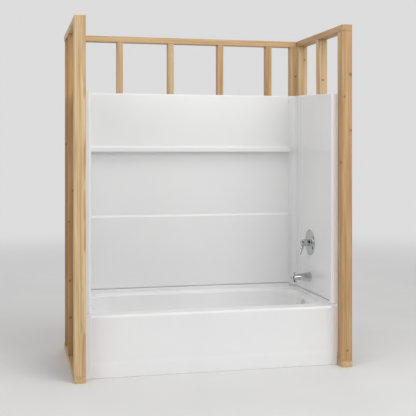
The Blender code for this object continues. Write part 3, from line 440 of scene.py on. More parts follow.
def lathe(name, profile, place, direction=upwards, sides=96, swell=lambda reach, i: 0):
    """An outline of (radius, height) points turned about an axis, from axis to axis or closed.

    The radius may swell or shrink from side to side.
    """
    bm = bmesh.new()
    seat = Matrix.Translation(place) @ facing(direction)
    rows = []
    for radius, height in profile:
        row = []
        for i, angle in enumerate(turns(sides)):
            reach = radius + swell(radius, i)
            row.append(bm.verts.new(seat @ Vector((reach * cos(angle), reach * sin(angle), height))))
        rows.append(row)
    bridge(bm, rows, closed=profile[0][0] > 0)
    bmesh.ops.remove_doubles(bm, verts=bm.verts, dist=0.0000005)
    return object_from(bm, name)


def rod(name, start, direction, length, radius, easing=0.0, sides=64):
    """A round bar, its edges eased or sharp."""
    outline = [(0, length), (radius, length), (radius, 0), (0, 0)]
    return lathe(name, rounded(outline, easing) if easing else outline, start, direction, sides)


def eased_box(bm, low, high, easing, steps=3):
    """A box with its edges rounded over."""
    size = [b - a for a, b in zip(low, high)]
    centre = [(a + b) / 2 for a, b in zip(low, high)]
    place = Matrix.Translation(centre) @ Matrix.Diagonal((*size, 1.0))
    made = bmesh.ops.create_cube(bm, size=1.0, matrix=place)["verts"]
    edges = list({edge for vert in made for edge in vert.link_edges})
    bmesh.ops.bevel(bm, geom=edges, offset=easing, segments=steps, profile=0.5, affect="EDGES")


def boxes(name, corners, easing, steps=3):
    """An object of eased boxes, each given by its low and its high corner."""
    bm = bmesh.new()
    for low, high in corners:
        eased_box(bm, low, high, easing, steps)
    return object_from(bm, name)


pipe_radius = 0.0079
pipe_hole = 0.011
corner_swell = 0.0055
chance = random.Random(11)
# These boards take a set tone in place of a random one: painted light on the lighter ones and painted shade
# on the darker ones, for how the lamps fall on them.
painted_light_and_shade_tones = {
    "left_front_post": 1.16,
    "left_middle_stud": 0.90,
    "left_rear_stud": 0.88,
    "right_front_post": 0.94,
    "right_top_plate": 0.92,
    "right_rear_stud": 1.12,
    "right_middle_stud": 1.15,
    "back_stud_6": 1.08,
}
board_knots = {
    "right_rear_stud": [(0.807, 0.339, 1.925)],
    "back_stud_6": [(0.758, 0.389, 1.815)],
    "right_middle_stud": [(0.796, -0.041, 1.756)],
    "right_front_post": [(0.777, -0.453, 1.622), (0.817, -0.453, 1.420), (0.795, -0.453, 0.100)],
    "left_middle_stud": [
        (x, 0.052, z) for x, z in ((-0.798, 1.053), (-0.822, 0.860), (-0.815, 0.500), (-0.812, 0.274))
    ],
    "left_rear_stud": [(-0.822, 0.339, 1.340)],
}
for node in board_nodes:
    low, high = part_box(node)
    if node == "back_stud_1":
        low.x -= corner_swell
    if node == "back_stud_6":
        high.x += corner_swell
    size, centre = high - low, (low + high) / 2
    along = max(range(3), key=lambda axis: size[axis])
    if along == 0:
        turn, half = Matrix.Rotation(pi / 2, 4, "Y"), (size.z / 2, size.y / 2, size.x / 2)
    elif along == 1:
        turn, half = Matrix.Rotation(-pi / 2, 4, "X"), (size.x / 2, size.z / 2, size.y / 2)
    else:
        turn, half = Matrix.Identity(4), (size.x / 2, size.y / 2, size.z / 2)
    board = boxes(f"pine_{node}", [([-value for value in half], half)], edge_easing)
    seat = Matrix.Translation(centre) @ turn
    board.matrix_world = seat
    if node == "right_sole_plate":
        holes = []
        for name, outer, inward in (("hot", 0, pipe_radius), ("cold", 1, -pipe_radius)):
            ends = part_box(f"{name}_supply_pipe")
            start = ((ends[0].x + ends[1].x) / 2, ends[outer].y + inward, low.z - 0.01)
            holes.append(rod(f"{name}_way", start, upwards, size.z + 0.02, pipe_hole))
        board = cut_away(board, *holes)
    angle = chance.uniform(0, 2 * pi)
    reach = chance.uniform(0.03, 0.09)
    tone = chance.uniform(0.98, 1.10)
    cut = (reach * cos(angle), reach * sin(angle), painted_light_and_shade_tones.get(node, tone))
    places = [seat.inverted() @ Vector(place) for place in board_knots.get(node, [])]
    places += [Vector((9, 9, 9))] * (4 - len(places))
    for mark, value in [("cut", cut), *[(f"knot_{i}", tuple(place)) for i, place in enumerate(places)]]:
        marks = board.data.attributes.new(mark, "FLOAT_VECTOR", "POINT")
        marks.data.foreach_set("vector", value * len(board.data.vertices))
    settle(board, pine, node)

# The bath: one white moulding with a glossy face, its basin drawn down between a deck and an
# apron that hangs to the floor. A lip along the back and ends runs up behind the wall panels.
left_and_right = ((-1, "left"), (1, "right"))
tub_low, tub_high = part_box("tub")
half_width = tub_high.x
rim_height = 0.355
apron_y = -0.373
kick_height = 0.080
kick_step = 0.004
rim_round = 0.014
rim_roll = 0.012
tub_wall = 0.008
rim_under = rim_height - tub_wall
basin_floor = 0.075
basin_low = (-0.687, -0.255)
basin_high = (0.712, 0.327)
side_taper = 0.120
drain_end_taper = 0.110
rest_end_taper = 0.300
rim_corner = 0.150
floor_corner = 0.090
upstand_y = 0.354
upstand_top = 0.388
ledge_x = 0.745
ledge_top = 0.3695
border_x = 0.725
border_back = -0.338
seam_x = 0.698
back_cove = 0.013
ledge_cove = 0.006
notch_wide = 0.009
notch_deep = 0.007
notch_back = -0.290
drain_hole = 0.0195
overflow_hole = 0.027
overflow_z = 0.288
basin_shares = (
    (0.0, 0.0, 0.02, 0.0),
    (0.065, 0.02, 0.11, 0.02),
    (0.385, 0.13, 0.11, 0.15),
    (0.62, 0.28, 0.26, 0.36),
    (0.82, 0.48, 0.42, 0.60),
    (0.93, 0.68, 0.64, 0.78),
    (0.985, 0.86, 0.84, 0.90),
    (1.0, 1.0, 1.0, 1.0),
)

acrylic, acrylic_shader = new_material("white_acrylic")
acrylic_place = object_place(acrylic)
clouds = noise(acrylic, acrylic_place, 3.0, 3.0)
smears = noise(acrylic, acrylic_place, 14.0, 4.0)
ripple = noise(acrylic, acrylic_place, 60.0, 1.0)
whites = shades(acrylic, clouds, (0.3, (0.785, 0.787, 0.79)), (0.7, (0.81, 0.811, 0.812)))
feed(acrylic, whites, acrylic_shader, "Base Color")
feed(acrylic, span(acrylic, smears, 0.16, 0.28), acrylic_shader, "Roughness")
roughen(acrylic, acrylic_shader, ripple, 0.12, 0.0004)


def arc(centre, radius, start, end, steps):
    """Points on an arc between two angles in degrees."""
    angles = [radians(start + (end - start) * i / steps) for i in range(steps + 1)]
    return [(centre[0] + radius * cos(a), centre[1] + radius * sin(a)) for a in angles]


def basin_ring(side_in, drain_in, rest_in, grow, corner):
    """One rounded rectangle of the basin, in plan."""
    low_x = basin_low[0] + rest_end_taper * rest_in - grow
    high_x = basin_high[0] - drain_end_taper * drain_in + grow
    low_y = basin_low[1] + side_taper * side_in - grow
    high_y = basin_high[1] - side_taper * side_in + grow
    corners = [
        arc((x, y), corner, start, start + 90, 14)
        for x, y, start in (
            (high_x - corner, high_y - corner, 0),
            (low_x + corner, high_y - corner, 90),
            (low_x + corner, low_y + corner, 180),
            (high_x - corner, low_y + corner, 270),
        )
    ]
    points = []
    for here, after in zip(corners, corners[1:] + corners[:1]):
        points += here
        for i in range(1, 10):
            points.append(tuple(a + (b - a) * (i / 10) for a, b in zip(here[-1], after[0])))
    return points


def through(rows, place):
    """A row between those of a table, on a smooth curve through them."""
    first = min(int(place), len(rows) - 2)
    share = place - first
    before, after = rows[max(first - 1, 0)], rows[min(first + 2, len(rows) - 1)]
    s2, s3 = share * share, share**3
    row = []
    for p0, p1, p2, p3 in zip(before, rows[first], rows[first + 1], after):
        least, most = sorted((0, 3 * (p2 - p1)))
        slope_in = max(min((p2 - p0) / 2, most), least)
        slope_out = max(min((p3 - p1) / 2, most), least)
        row.append(
            p1 * (2 * s3 - 3 * s2 + 1)
            + slope_in * (s3 - 2 * s2 + share)
            + p2 * (3 * s2 - 2 * s3)
            + slope_out * (s3 - s2)
        )
    return row


def smooth_rows(table):
    """A table with five more rows between every two of its own."""
    return [through(table, step / 6) for step in range(6 * (len(table) - 1) + 1)]


def thickened(sheet, wall):
    """A sheet given its thickness behind the face."""
    skin = sheet.modifiers.new("wall", "SOLIDIFY")
    skin.thickness = wall
    skin.offset = -1.0
    return baked(sheet)


strainer_low, strainer_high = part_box("drain_strainer")
drain_x = (strainer_low.x + strainer_high.x) / 2
fitting_y = (strainer_low.y + strainer_high.y) / 2


def at(x, z, y=0.0):
    """A point at a distance y from the upright plane that the taps and the waste stand in."""
    return (x, fitting_y + y, z)


deck_front = apron_y + kick_step + rim_round
mouth_x, mouth_y = [(a + b) / 2 for a, b in zip(basin_low, basin_high)]
deck_edge = []
for x, y in basin_ring(0, 0, 0, rim_roll, rim_corner + rim_roll):
    gap_x, gap_y = x - mouth_x, y - mouth_y
    stretch = min(
        (half_width - x if gap_x > 0 else x + half_width) / max(abs(gap_x), 1e-6),
        (upstand_y - y if gap_y > 0 else y - deck_front) / max(abs(gap_y), 1e-6),
    )
    deck_edge.append((x + gap_x * stretch, y + gap_y * stretch))
for corner in [(x, y) for x in (-half_width, half_width) for y in (deck_front, upstand_y)]:
    nearest = min(range(len(deck_edge)), key=lambda i: (Vector(deck_edge[i]) - Vector(corner)).length)
    deck_edge[nearest] = corner
basin_rings = [[(x, y, rim_height) for x, y in deck_edge]]
for i in range(9):
    turn = radians(90 * i / 8)
    grow = rim_roll * (1 - sin(turn))
    z = rim_height - rim_roll * (1 - cos(turn))
    basin_rings.append([(x, y, z) for x, y in basin_ring(0, 0, 0, grow, rim_corner + grow)])
for deep, side_in, drain_in, rest_in in smooth_rows(basin_shares)[1:]:
    z = rim_height - rim_roll - (rim_height - rim_roll - basin_floor) * deep
    corner = rim_corner + (floor_corner - rim_corner) * deep
    basin_rings.append([(x, y, z) for x, y in basin_ring(side_in, drain_in, rest_in, 0, corner)])

bm = bmesh.new()
rows = [[bm.verts.new(point) for point in ring] for ring in basin_rings]
bridge(bm, rows)
bm.faces.new(rows[-1])
basin = cut_away(
    thickened(object_from(bm, "bath_basin", outer_faces=False), tub_wall),
    rod("drain_way", at(drain_x, 0.05), upwards, 0.05, drain_hole),
    rod("overflow_way", at(0.68, overflow_z), outwards, 0.05, overflow_hole),
)
settle(basin, acrylic, "tub")

upper_y = apron_y + kick_step
round_centre = (upper_y + rim_round, rim_height - rim_round)
apron_outline = [
    (apron_y + 0.003, 0),
    (apron_y + 0.0008, 0.0012),
    (apron_y, 0.004),
    (apron_y, kick_height - 0.012),
    (apron_y + 0.0004, kick_height - 0.006),
    (apron_y + 0.0020, kick_height + 0.003),
    (upper_y - 0.0004, kick_height + 0.012),
    (upper_y, kick_height + 0.018),
    *arc(round_centre, rim_round, 180, 90, 10),
    *arc(round_centre, rim_round - tub_wall, 90, 180, 6),
    (upper_y + tub_wall, kick_height + 0.012),
    (apron_y + tub_wall, kick_height),
    (apron_y + tub_wall, 0),
]
bath_trim = [
    loft("bath_apron", [[(x, y, z) for y, z in apron_outline] for x in (-half_width, half_width)])
]
for name, low_x, high_x, top in (
    ("bath_upstand", -seam_x, seam_x, upstand_top),
    ("bath_left_corner", -half_width, -seam_x, ledge_top),
    ("bath_right_corner", seam_x, half_width, ledge_top),
):
    upstand_outline = [
        *arc((upstand_y - back_cove, rim_height + back_cove), back_cove, -90, -4, 8),
        *arc((upstand_y + 0.005, top - 0.005), 0.005, 180, 90, 6),
        (tub_high.y, top),
        (tub_high.y, rim_under),
        (upstand_y - back_cove, rim_under),
    ]
    bath_trim.append(loft(name, [[(x, y, z) for y, z in upstand_outline] for x in (low_x, high_x)]))
ledge_outline = [
    *arc((ledge_x - ledge_cove, rim_height + ledge_cove), ledge_cove, -90, 0, 5),
    *arc((ledge_x + 0.003, ledge_top - 0.003), 0.003, 180, 90, 4),
    (half_width, ledge_top),
    (half_width, rim_under),
    (ledge_x - ledge_cove, rim_under),
]
for side, name in left_and_right:
    ledge_ends = [[(side * x, y, z) for x, z in ledge_outline] for y in (deck_front, tub_high.y)]
    ledge = loft(f"bath_{name}_ledge", ledge_ends)
    seat_end = half_width
    if side > 0:
        seat_end = half_width - notch_wide
        pocket_low = (seat_end, tub_low.y, rim_height - notch_deep)
        pocket_high = (half_width + 0.010, notch_back, ledge_top + 0.010)
        ledge = cut_away(ledge, boxes("notch", [(pocket_low, pocket_high)], 0.0008, 1))
    low_x, high_x = sorted((side * border_x, side * half_width))
    seat_low, seat_high = sorted((side * (border_x + 0.0015), side * seat_end))
    border_boxes = [
        ((low_x, tub_low.y, 0.0008), (high_x, border_back, rim_height)),
        ((seat_low, tub_low.y + 0.0015, rim_height - 0.005), (seat_high, border_back, ledge_top)),
    ]
    bath_trim += [ledge, boxes(f"bath_{name}_border", border_boxes, 0.0025, 4)]
for piece in bath_trim:
    settle(piece, acrylic)

# The wall panels: a back panel with a shelf ledge pressed into it and two end panels that turn
# the corners, all of thin white moulding whose edges fold back to the studs.
wall_y = 0.367
shelf_y = 0.317
shelf_bottom = 1.291
shelf_top = 1.321
shelf_nose = 0.006
shelf_cove = 0.014
step_z = 0.864
lower_y = 0.357
panel_top = 1.677
panel_front_drop = 0.034
panel_skin = 0.004
end_wall_x = 0.748
corner_round = 0.036
flute_step = 0.0021
bull_round = 0.016
end_panel_bottom = 0.3698
valve_z = 0.696
valve_way = 0.046
spout_z = 0.471
spout_way = 0.019
back_low, back_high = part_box("back_wall_panel")
back_limit = back_high.y
back_outline = [
    (back_limit, panel_top),
    *arc((wall_y + 0.008, panel_top - 0.008), 0.008, 90, 180, 8),
    *arc((wall_y - shelf_cove, shelf_top + shelf_cove), shelf_cove, 0, -90, 10),
    *arc((shelf_y + shelf_nose, shelf_top - shelf_nose), shelf_nose, 90, 180, 10),
    *arc((shelf_y + 0.004, shelf_bottom + 0.004), 0.004, 180, 270, 5),
    *arc((wall_y - shelf_cove, shelf_bottom - shelf_cove), shelf_cove, 90, 0, 10),
    (wall_y, step_z + 0.010),
    (wall_y - 0.0012, step_z + 0.0075),
    (lower_y + 0.0012, step_z - 0.0025),
    (lower_y, step_z - 0.005),
    *arc((lower_y + 0.004, back_low.z + 0.0095), 0.004, 180, 270, 6),
    (lower_y + 0.0095, back_low.z + 0.0055),
    (lower_y + 0.0100, back_low.z),
    (back_limit, back_low.z),
]
bm = bmesh.new()
ends = [[bm.verts.new((x, y, z)) for y, z in back_outline] for x in (back_low.x, back_high.x)]
bridge(bm, ends, rings=False)
bm.faces.new(ends[0][::-1])
bm.faces.new(ends[1])
settle(thickened(object_from(bm, "back_panel"), panel_skin), acrylic, "back_wall_panel")

end_low, end_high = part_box("right_end_panel")
panel_limit = end_high.x
flange_x = 0.725
flange_y = end_low.y
nose_y = apron_y + 0.035
wall_front = nose_y + 2 * bull_round
corner_x = end_wall_x - 2 * flute_step
corner_y = wall_y - 0.0035
flutes = (corner_y - 0.098, corner_y - 0.150)
end_profile = [
    (seam_x, back_limit),
    (seam_x, corner_y + 0.0015),
    (seam_x + 0.0015, corner_y),
    *arc((corner_x - corner_round, corner_y - corner_round), corner_round, 90, 0, 14),
    *[
        (corner_x + flute_step * (number + share), flute_y + rise)
        for number, flute_y in enumerate(flutes)
        for share, rise in ((0, flute_step + 0.002), (0.25, flute_step), (0.75, flute_step / 3), (1, -0.001))
    ],
    *[(end_wall_x, flutes[1] + (wall_front - flutes[1]) * i / 8) for i in range(1, 9)],
    *arc((end_wall_x - bull_round, nose_y + bull_round), bull_round, 0, -45, 6),
    (flange_x, nose_y - bull_round / 2),
    *arc((flange_x + bull_round, flange_y + bull_round), bull_round, 180, 270, 12),
    (panel_limit, flange_y),
]
count = len(end_profile)
seam_points = 3
corner_points = seam_points + 15
front_points = 21
top_easing = 0.0035
foot_easing = 0.004
foot_gap = 0.0050
line_z = 0.488
line_step = 0.0008


def top_at(y):
    """The end panels' top edge, which falls towards the front."""
    share = max(0.0, (corner_y - y) / (corner_y - flange_y))
    return panel_top - panel_front_drop * share**1.3


normals = []
for i in range(count):
    run = Vector(end_profile[min(i + 1, count - 1)]) - Vector(end_profile[max(i - 1, 0)])
    normals.append(Vector((-run.y, run.x)).normalized())


def panel_level(back, heights):
    """The end panels' outline set back from the face, each point at its own height."""
    return [
        (min(x + normal.x * back, panel_limit), min(y + normal.y * back, back_limit), z)
        for (x, y), normal, z in zip(end_profile, normals, heights)
    ]


far_edge = [
    (x if i < seam_points else panel_limit, back_limit if i < corner_points else y)
    for i, (x, y) in enumerate(end_profile)
]
feet = [end_panel_bottom + foot_gap * (1 if i < count - front_points else 0.15) for i in range(count)]
levels = [
    [(x, y, end_panel_bottom) for x, y in far_edge],
    panel_level(0.0100, [end_panel_bottom] * count),
    panel_level(0.0095, feet),
]
quarter_turn = [(sin(radians(22.5 * step)), cos(radians(22.5 * step))) for step in range(5)]
for sine, cosine in quarter_turn:
    heights = [foot + foot_easing * (1 - cosine) for foot in feet]
    levels.append(panel_level(foot_easing * (1 - sine) - line_step, heights))
levels.append(panel_level(-line_step, [line_z - 0.002] * count))
levels.append(panel_level(0, [line_z + 0.001] * count))
for sine, cosine in quarter_turn:
    heights = [top_at(y) - top_easing * (1 - sine) for x, y in end_profile]
    levels.append(panel_level(top_easing * (1 - cosine), heights))
levels.append([(x, y, top_at(y)) for x, y in far_edge])
for side, name in left_and_right:
    bm = bmesh.new()
    rows = [[bm.verts.new((side * x, y, z)) for x, y, z in level] for level in levels]
    bridge(bm, rows, rings=False)
    bmesh.ops.remove_doubles(bm, verts=bm.verts, dist=0.00002)
    bmesh.ops.dissolve_degenerate(bm, edges=bm.edges, dist=0.00001)
    if side < 0:
        bmesh.ops.reverse_faces(bm, faces=bm.faces)
    panel = thickened(object_from(bm, f"{name}_panel", outer_faces=False), panel_skin)
    for vert in panel.data.vertices:
        x = min(max(side * vert.co.x, seam_x), panel_limit)
        vert.co = (side * x, max(vert.co.y, flange_y), max(vert.co.z, end_panel_bottom))
    cleaned(panel.data)
    if side > 0:
        panel = cut_away(
            panel,
            rod("valve_way", at(end_wall_x - 0.02, valve_z), outwards, 0.05, valve_way),
            rod("spout_way", at(end_wall_x - 0.02, spout_z), outwards, 0.05, spout_way),
        )
    settle(panel, acrylic, f"{name}_end_panel")

# The ribs on the panels' backs: flat battens of the same moulding, set upright behind the faces
# where the studs stand, so that the thin skin is held off the frame and doesn't drum.
rib_half = 0.015
rib_easing = 0.002
rib_zones = ((1.355, 1.623, wall_y), (0.894, 1.257, wall_y), (0.408, 0.834, lower_y))
for number in range(2, 6):
    low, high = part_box(f"back_stud_{number}")
    rib_x = (low.x + high.x) / 2
    battens = [
        ((rib_x - rib_half, face_y + panel_skin / 2, z_low), (rib_x + rib_half, back_limit, z_high))
        for z_low, z_high, face_y in rib_zones
    ]
    settle(boxes(f"back_panel_ribs_{number - 1}", battens, rib_easing), acrylic)
for side, name in left_and_right:
    low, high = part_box(f"{name}_middle_stud")
    rib_y = (low.y + high.y) / 2
    low_x, high_x = sorted((side * (end_wall_x + panel_skin / 2), side * panel_limit))
    battens = [
        ((low_x, rib_y - rib_half, z_low), (high_x, rib_y + rib_half, z_high))
        for z_low, z_high, face_y in rib_zones
    ]
    settle(boxes(f"{name}_panel_ribs", battens, rib_easing), acrylic)

# The pad under the basin: a slab of cut foam that the floor of the bath is bedded on. Its sawn
# edges are rough, and its cells show.


def surface(name, dark, light, gloss, metallic, grain, relief, cells=False):
    """A material whose colour, gloss and relief follow its own noise."""
    made, shader = new_material(name)
    place = object_place(made)
    broad = noise(made, place, grain, 4.0)
    if cells:
        fine = add_node(made, "ShaderNodeTexVoronoi", {"Vector": place, "Scale": grain * 14}).outputs[0]
    else:
        fine = noise(made, place, grain * 14)
    feed(made, shades(made, broad, (0.3, dark), (0.7, light)), shader, "Base Color")
    feed(made, span(made, broad, *gloss), shader, "Roughness")
    feed(made, metallic, shader, "Metallic")
    roughen(made, shader, fine, *relief)
    return made


foam = surface(
    "cut_foam", (0.70, 0.66, 0.52), (0.80, 0.77, 0.65), (0.85, 0.95), 0.0, 30.0, (0.6, 0.001), cells=True
)
pad_low, pad_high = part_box("tub_bed_pad")
bm = bmesh.new()
eased_box(bm, pad_low, pad_high, 0.004, 2)
bmesh.ops.subdivide_edges(bm, edges=[edge for edge in bm.edges if edge.calc_length() > 0.1], cuts=40)
saw = random.Random(4)
for vert in bm.verts:
    if pad_low.z + 0.005 < vert.co.z < pad_high.z - 0.005:
        inward = Vector(((pad_low.x + pad_high.x) / 2 - vert.co.x, -vert.co.y, 0)).normalized()
        vert.co += inward * saw.uniform(0, 0.0012)
settle(object_from(bm, "foam_bed_pad"), foam, "tub_bed_pad")

# The waste: a chromed strainer screwed down through the drain hole into a white plastic shoe, a
# level tube, a tee whose foot meets the trap, and slip nuts that draw each joint tight.
chrome = surface(
    "polished_chrome", (0.57, 0.575, 0.585), (0.65, 0.655, 0.66), (0.03, 0.07), 1.0, 9.0, (0.03, 0.0002)
)
white_plastic = surface(
    "white_plastic", (0.66, 0.66, 0.63), (0.74, 0.74, 0.72), (0.38, 0.52), 0.0, 26.0, (0.15, 0.0003)
)
rubber = surface(
    "black_rubber", (0.020, 0.020, 0.021), (0.045, 0.045, 0.046), (0.6, 0.8), 0.0, 40.0, (0.3, 0.0003)
)
brass = surface(
    "machined_brass", (0.52, 0.36, 0.14), (0.68, 0.50, 0.22), (0.24, 0.42), 1.0, 34.0, (0.25, 0.0003)
)
seat_gap = 0.0003
run_z = 0.031
riser_x = 0.7365
socket = 0.0208
collar = socket + 0.0014
collar_long = 0.0078
tube_way = 0.0173
tube_radius = 0.017
tube_bore = 0.0155
shoe_radius = 0.0245
shoe_way = 0.0183
gasket_thick = 0.003


def ring(name, inner, outer, low, high, place, direction, easing, steps=4, sides=96):
    """A plain ring with eased edges."""
    outline = [(inner, low), (outer, low), (outer, high), (inner, high)]
    return lathe(name, rounded(outline, easing, steps, closed=True), place, direction, sides)


def casting_rods(name, rods, easing, sides):
    """Rods given as (start, direction, length, radius), made so that no two of them lie flush."""
    return [
        rod(f"{name}_{i}", start, direction, length, radius - 0.00003 * i, easing, sides + 2 * i)
        for i, (start, direction, length, radius) in enumerate(rods)
    ]


def casting(name, rods, bores):
    """Rods joined into one piece, then bored."""
    shapes = casting_rods(name, rods, 0.0008, 64)
    whole = cut_away(shapes[0], *shapes[1:], operation="UNION")
    made = cut_away(whole, *casting_rods(f"{name}_bore", bores, 0.0, 58))
    made.name = made.data.name = name
    return made


strainer_top = basin_floor + seat_gap
strainer_outline = [(0.0150, 0.0025), (0.0185, 0.0040), (0.0235, 0.0036), (0.0345, 0.0012), (0.0350, 0)]
strainer_outline += [(0.0180, 0), (0.0180, -0.030), (0.0150, -0.030), (0.0150, -0.0013)]
strainer = lathe(
    "drain_strainer_cup",
    [(0, 0.0025), *rounded(strainer_outline, 0.0012), (0, -0.0013)],
    at(drain_x, strainer_top),
)
holes = []
for i, angle in enumerate(turns(6)):
    start = at(drain_x + 0.0093 * cos(angle), strainer_top - 0.005, 0.0093 * sin(angle))
    holes.append(rod(f"strainer_hole_{i}", start, upwards, 0.012, 0.0033, sides=24))
settle(cut_away(strainer, *holes), chrome, "drain_strainer")

shoe_low, shoe_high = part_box("drain_shoe")
shoe = casting(
    "waste_shoe",
    [
        (at(drain_x, shoe_low.z), upwards, shoe_high.z - shoe_low.z, shoe_radius),
        (at(drain_x, run_z), outwards, 0.045, socket),
        (at(drain_x + 0.037, run_z), outwards, collar_long, collar),
    ],
    [
        (at(drain_x, shoe_low.z + 0.0035), upwards, 0.08, shoe_way),
        (at(drain_x, run_z), outwards, 0.06, tube_way),
    ],
)
settle(shoe, white_plastic, "drain_shoe")
tee = casting(
    "waste_tee_piece",
    [
        (at(riser_x, 0.006), upwards, 0.074, socket),
        (at(riser_x, run_z), into_room, 0.040, socket),
        (at(riser_x, 0.072), upwards, collar_long, collar),
        (at(riser_x - 0.032, run_z), into_room, collar_long, collar),
    ],
    [
        (at(riser_x, -0.01), upwards, 0.12, tube_way),
        (at(riser_x, run_z), into_room, 0.06, tube_way),
    ],
)
settle(tee, white_plastic, "waste_tee")
run_low, run_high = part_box("waste_tube")
riser_low, riser_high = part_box("overflow_tube")
for name, start, direction, length in (
    ("waste_tube", at(run_low.x, run_z), outwards, run_high.x - run_low.x),
    ("overflow_tube", at(riser_x, riser_low.z), upwards, riser_high.z - riser_low.z),
):
    tube = ring(f"white_{name}", tube_bore, tube_radius, 0, length, start, direction, 0.0004, 3)
    settle(tube, white_plastic, name)
slip_nut = [(0.0174, 0), (0.0228, 0), (0.0231, 0.0008), (0.0231, 0.0085)]
slip_nut += [(0.0218, 0.0100), (0.0205, 0.0120), (0.0178, 0.0120), (0.0174, 0.0116)]
for name, start, direction in (
    ("riser_slip_nut", at(riser_x, 0.0803), upwards),
    ("tee_slip_nut", at(riser_x - 0.0403, run_z), into_room),
    ("shoe_slip_nut", at(drain_x + 0.0453, run_z), outwards),
):
    nut = lathe(
        f"ribbed_{name}",
        slip_nut,
        start,
        direction,
        144,
        swell=lambda reach, i: 0.0007 if reach > 0.023 and i % 9 in (3, 4, 5) else 0,
    )
    settle(nut, white_plastic, name)
drain_seat = at(drain_x, basin_floor - tub_wall - seat_gap)
drain_gasket = ring(
    "rubber_drain_gasket", shoe_way, shoe_radius, -gasket_thick, 0, drain_seat, upwards, 0.0007
)
settle(drain_gasket, rubber, "drain_gasket")

# The overflow: a domed chrome plate on two screws, with a small lever in its slot. The lever rocks
# on a pin and lifts a brass plunger in the white tube behind, through a thin link.
plate_x = 0.6999
flange_radius = 0.034
screws_apart = 0.021
link_radius = 0.0014
head_face = plate_x + tub_wall + gasket_thick + 2 * seat_gap
head_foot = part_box("overflow_head")[0].z
head = casting(
    "overflow_elbow",
    [
        (at(riser_x, head_foot), upwards, 0.060, socket),
        (at(head_face + 0.002, overflow_z), outwards, riser_x - head_face, 0.0175),
        (at(head_face, overflow_z), outwards, 0.004, flange_radius),
    ],
    [
        (at(riser_x, 0.24), upwards, 0.0348, tube_way),
        (at(riser_x, 0.25), upwards, 0.0605, 0.0150),
        (at(head_face - 0.01, overflow_z), outwards, riser_x - head_face + 0.015, 0.0144),
        (at(head_face - 0.01, overflow_z, -screws_apart), outwards, 0.03, 0.0025),
        (at(head_face - 0.01, overflow_z, screws_apart), outwards, 0.03, 0.0025),
    ],
)
settle(head, white_plastic, "overflow_head")
overflow_seat = at(plate_x + tub_wall + seat_gap, overflow_z)
overflow_gasket = ring(
    "rubber_overflow_gasket", overflow_hole, flange_radius, 0, gasket_thick, overflow_seat, outwards, 0.0007
)
settle(overflow_gasket, rubber, "overflow_gasket")

cover_outline = [(0.021, 0.0056), (0.0325, 0.0038), (0.0342, 0.0042), (0.0372, 0.0026), (0.0385, 0.0009)]
cover_outline += [(0.0385, 0), (0.0365, 0), (0.031, 0.0018), (0.019, 0.0034)]
cover = lathe(
    "overflow_cover",
    [(0, 0.0060), *rounded(cover_outline, 0.0007), (0, 0.0040)],
    at(plate_x - seat_gap, overflow_z),
    into_room,
    128,
)
slot_low = at(plate_x - 0.02, overflow_z - 0.013, -0.005)
slot_high = at(plate_x + 0.01, overflow_z + 0.013, 0.005)
lugs = [
    (at(plate_x - 0.0046, overflow_z - 0.0035, low_y), at(plate_x + 0.0035, overflow_z + 0.0035, high_y))
    for low_y, high_y in ((-0.0080, -0.0056), (0.0056, 0.0080))
]
pin_start = at(plate_x, overflow_z, -0.01)
cover = cut_away(cover, boxes("cover_slot", [(slot_low, slot_high)], 0.0035, 5))
cover = cut_away(cover, boxes("cover_lugs", lugs, 0.0005), operation="UNION")
cover = cut_away(cover, rod("cover_pin_way", pin_start, inwards, 0.02, 0.0017, sides=24))
settle(cover, chrome, "overflow_plate")


def screw_pair(fitting, face_x, apart, z, long):
    """Two slotted round-headed screws driven towards +X, their heads against a face."""
    outline = [(0, 0.0018), (0.0022, 0.0017), (0.0040, 0.0006), (0.0042, 0), (0.0021, 0)]
    outline += [(0.0021, -long + 0.002), (0.0006, -long), (0, -long)]
    for number, turn in enumerate((-1, 1), 1):
        node = f"{fitting}_screw_{number}"
        slot = boxes(f"{node}_slot", [((-0.0004, -0.006, -0.0005), (0.0008, 0.006, 0.0005))], 0.0001, 1)
        slot_seat = Matrix.Translation(at(face_x - 0.0018, z, turn * apart))
        slot.matrix_world = slot_seat @ Matrix.Rotation(0.6, 4, "X")
        seat = at(face_x, z, turn * apart)
        screw = lathe(f"panhead_{node}", rounded(outline, 0.0004, 3), seat, into_room, 32)
        settle(cut_away(screw, slot), chrome, node)


screw_pair("overflow", plate_x - 0.0060, screws_apart, overflow_z, 0.021)


def squared_ring(count, power):
    """Points round a squarish oval, as shares of its two half-widths."""
    return [
        (copysign(abs(cos(angle)) ** power, cos(angle)), copysign(abs(sin(angle)) ** power, sin(angle)))
        for angle in turns(count)
    ]


arm_long = riser_x - plate_x
lever_sections = (
    (-0.0288, 0.0030, 0.0034),
    (-0.0282, 0.0040, 0.0048),
    (-0.0268, 0.0040, 0.0050),
    (-0.0252, 0.0038, 0.0046),
    (-0.0238, 0.0032, 0.0024),
    (-0.0220, 0.0030, 0.0016),
    (-0.0100, 0.0030, 0.0016),
    (0.0, 0.0030, 0.0016),
    (0.0200, 0.0029, 0.0015),
    (arm_long + 0.0006, 0.0028, 0.0014),
    (arm_long + 0.0014, 0.0020, 0.0008),
)
trip_lever = loft(
    "overflow_trip_lever",
    [
        [(x, half_y * across, half_z * up) for across, up in squared_ring(32, 0.5)]
        for x, half_y, half_z in lever_sections
    ],
)
trip_lever = cut_away(
    trip_lever,
    rod("lever_pivot", (0, -0.0080, 0), inwards, 0.0160, link_radius, easing=0.0003, sides=24),
    rod("lever_link_pin", (arm_long, 0, 0), inwards, 0.0084, link_radius, easing=0.0003, sides=24),
    operation="UNION",
)
lever_seat = Matrix.Translation(at(plate_x, overflow_z)) @ Matrix.Rotation(radians(-13), 4, "Y")
trip_lever.data.transform(lever_seat)
settle(trip_lever, chrome, "trip_lever", body="trip")

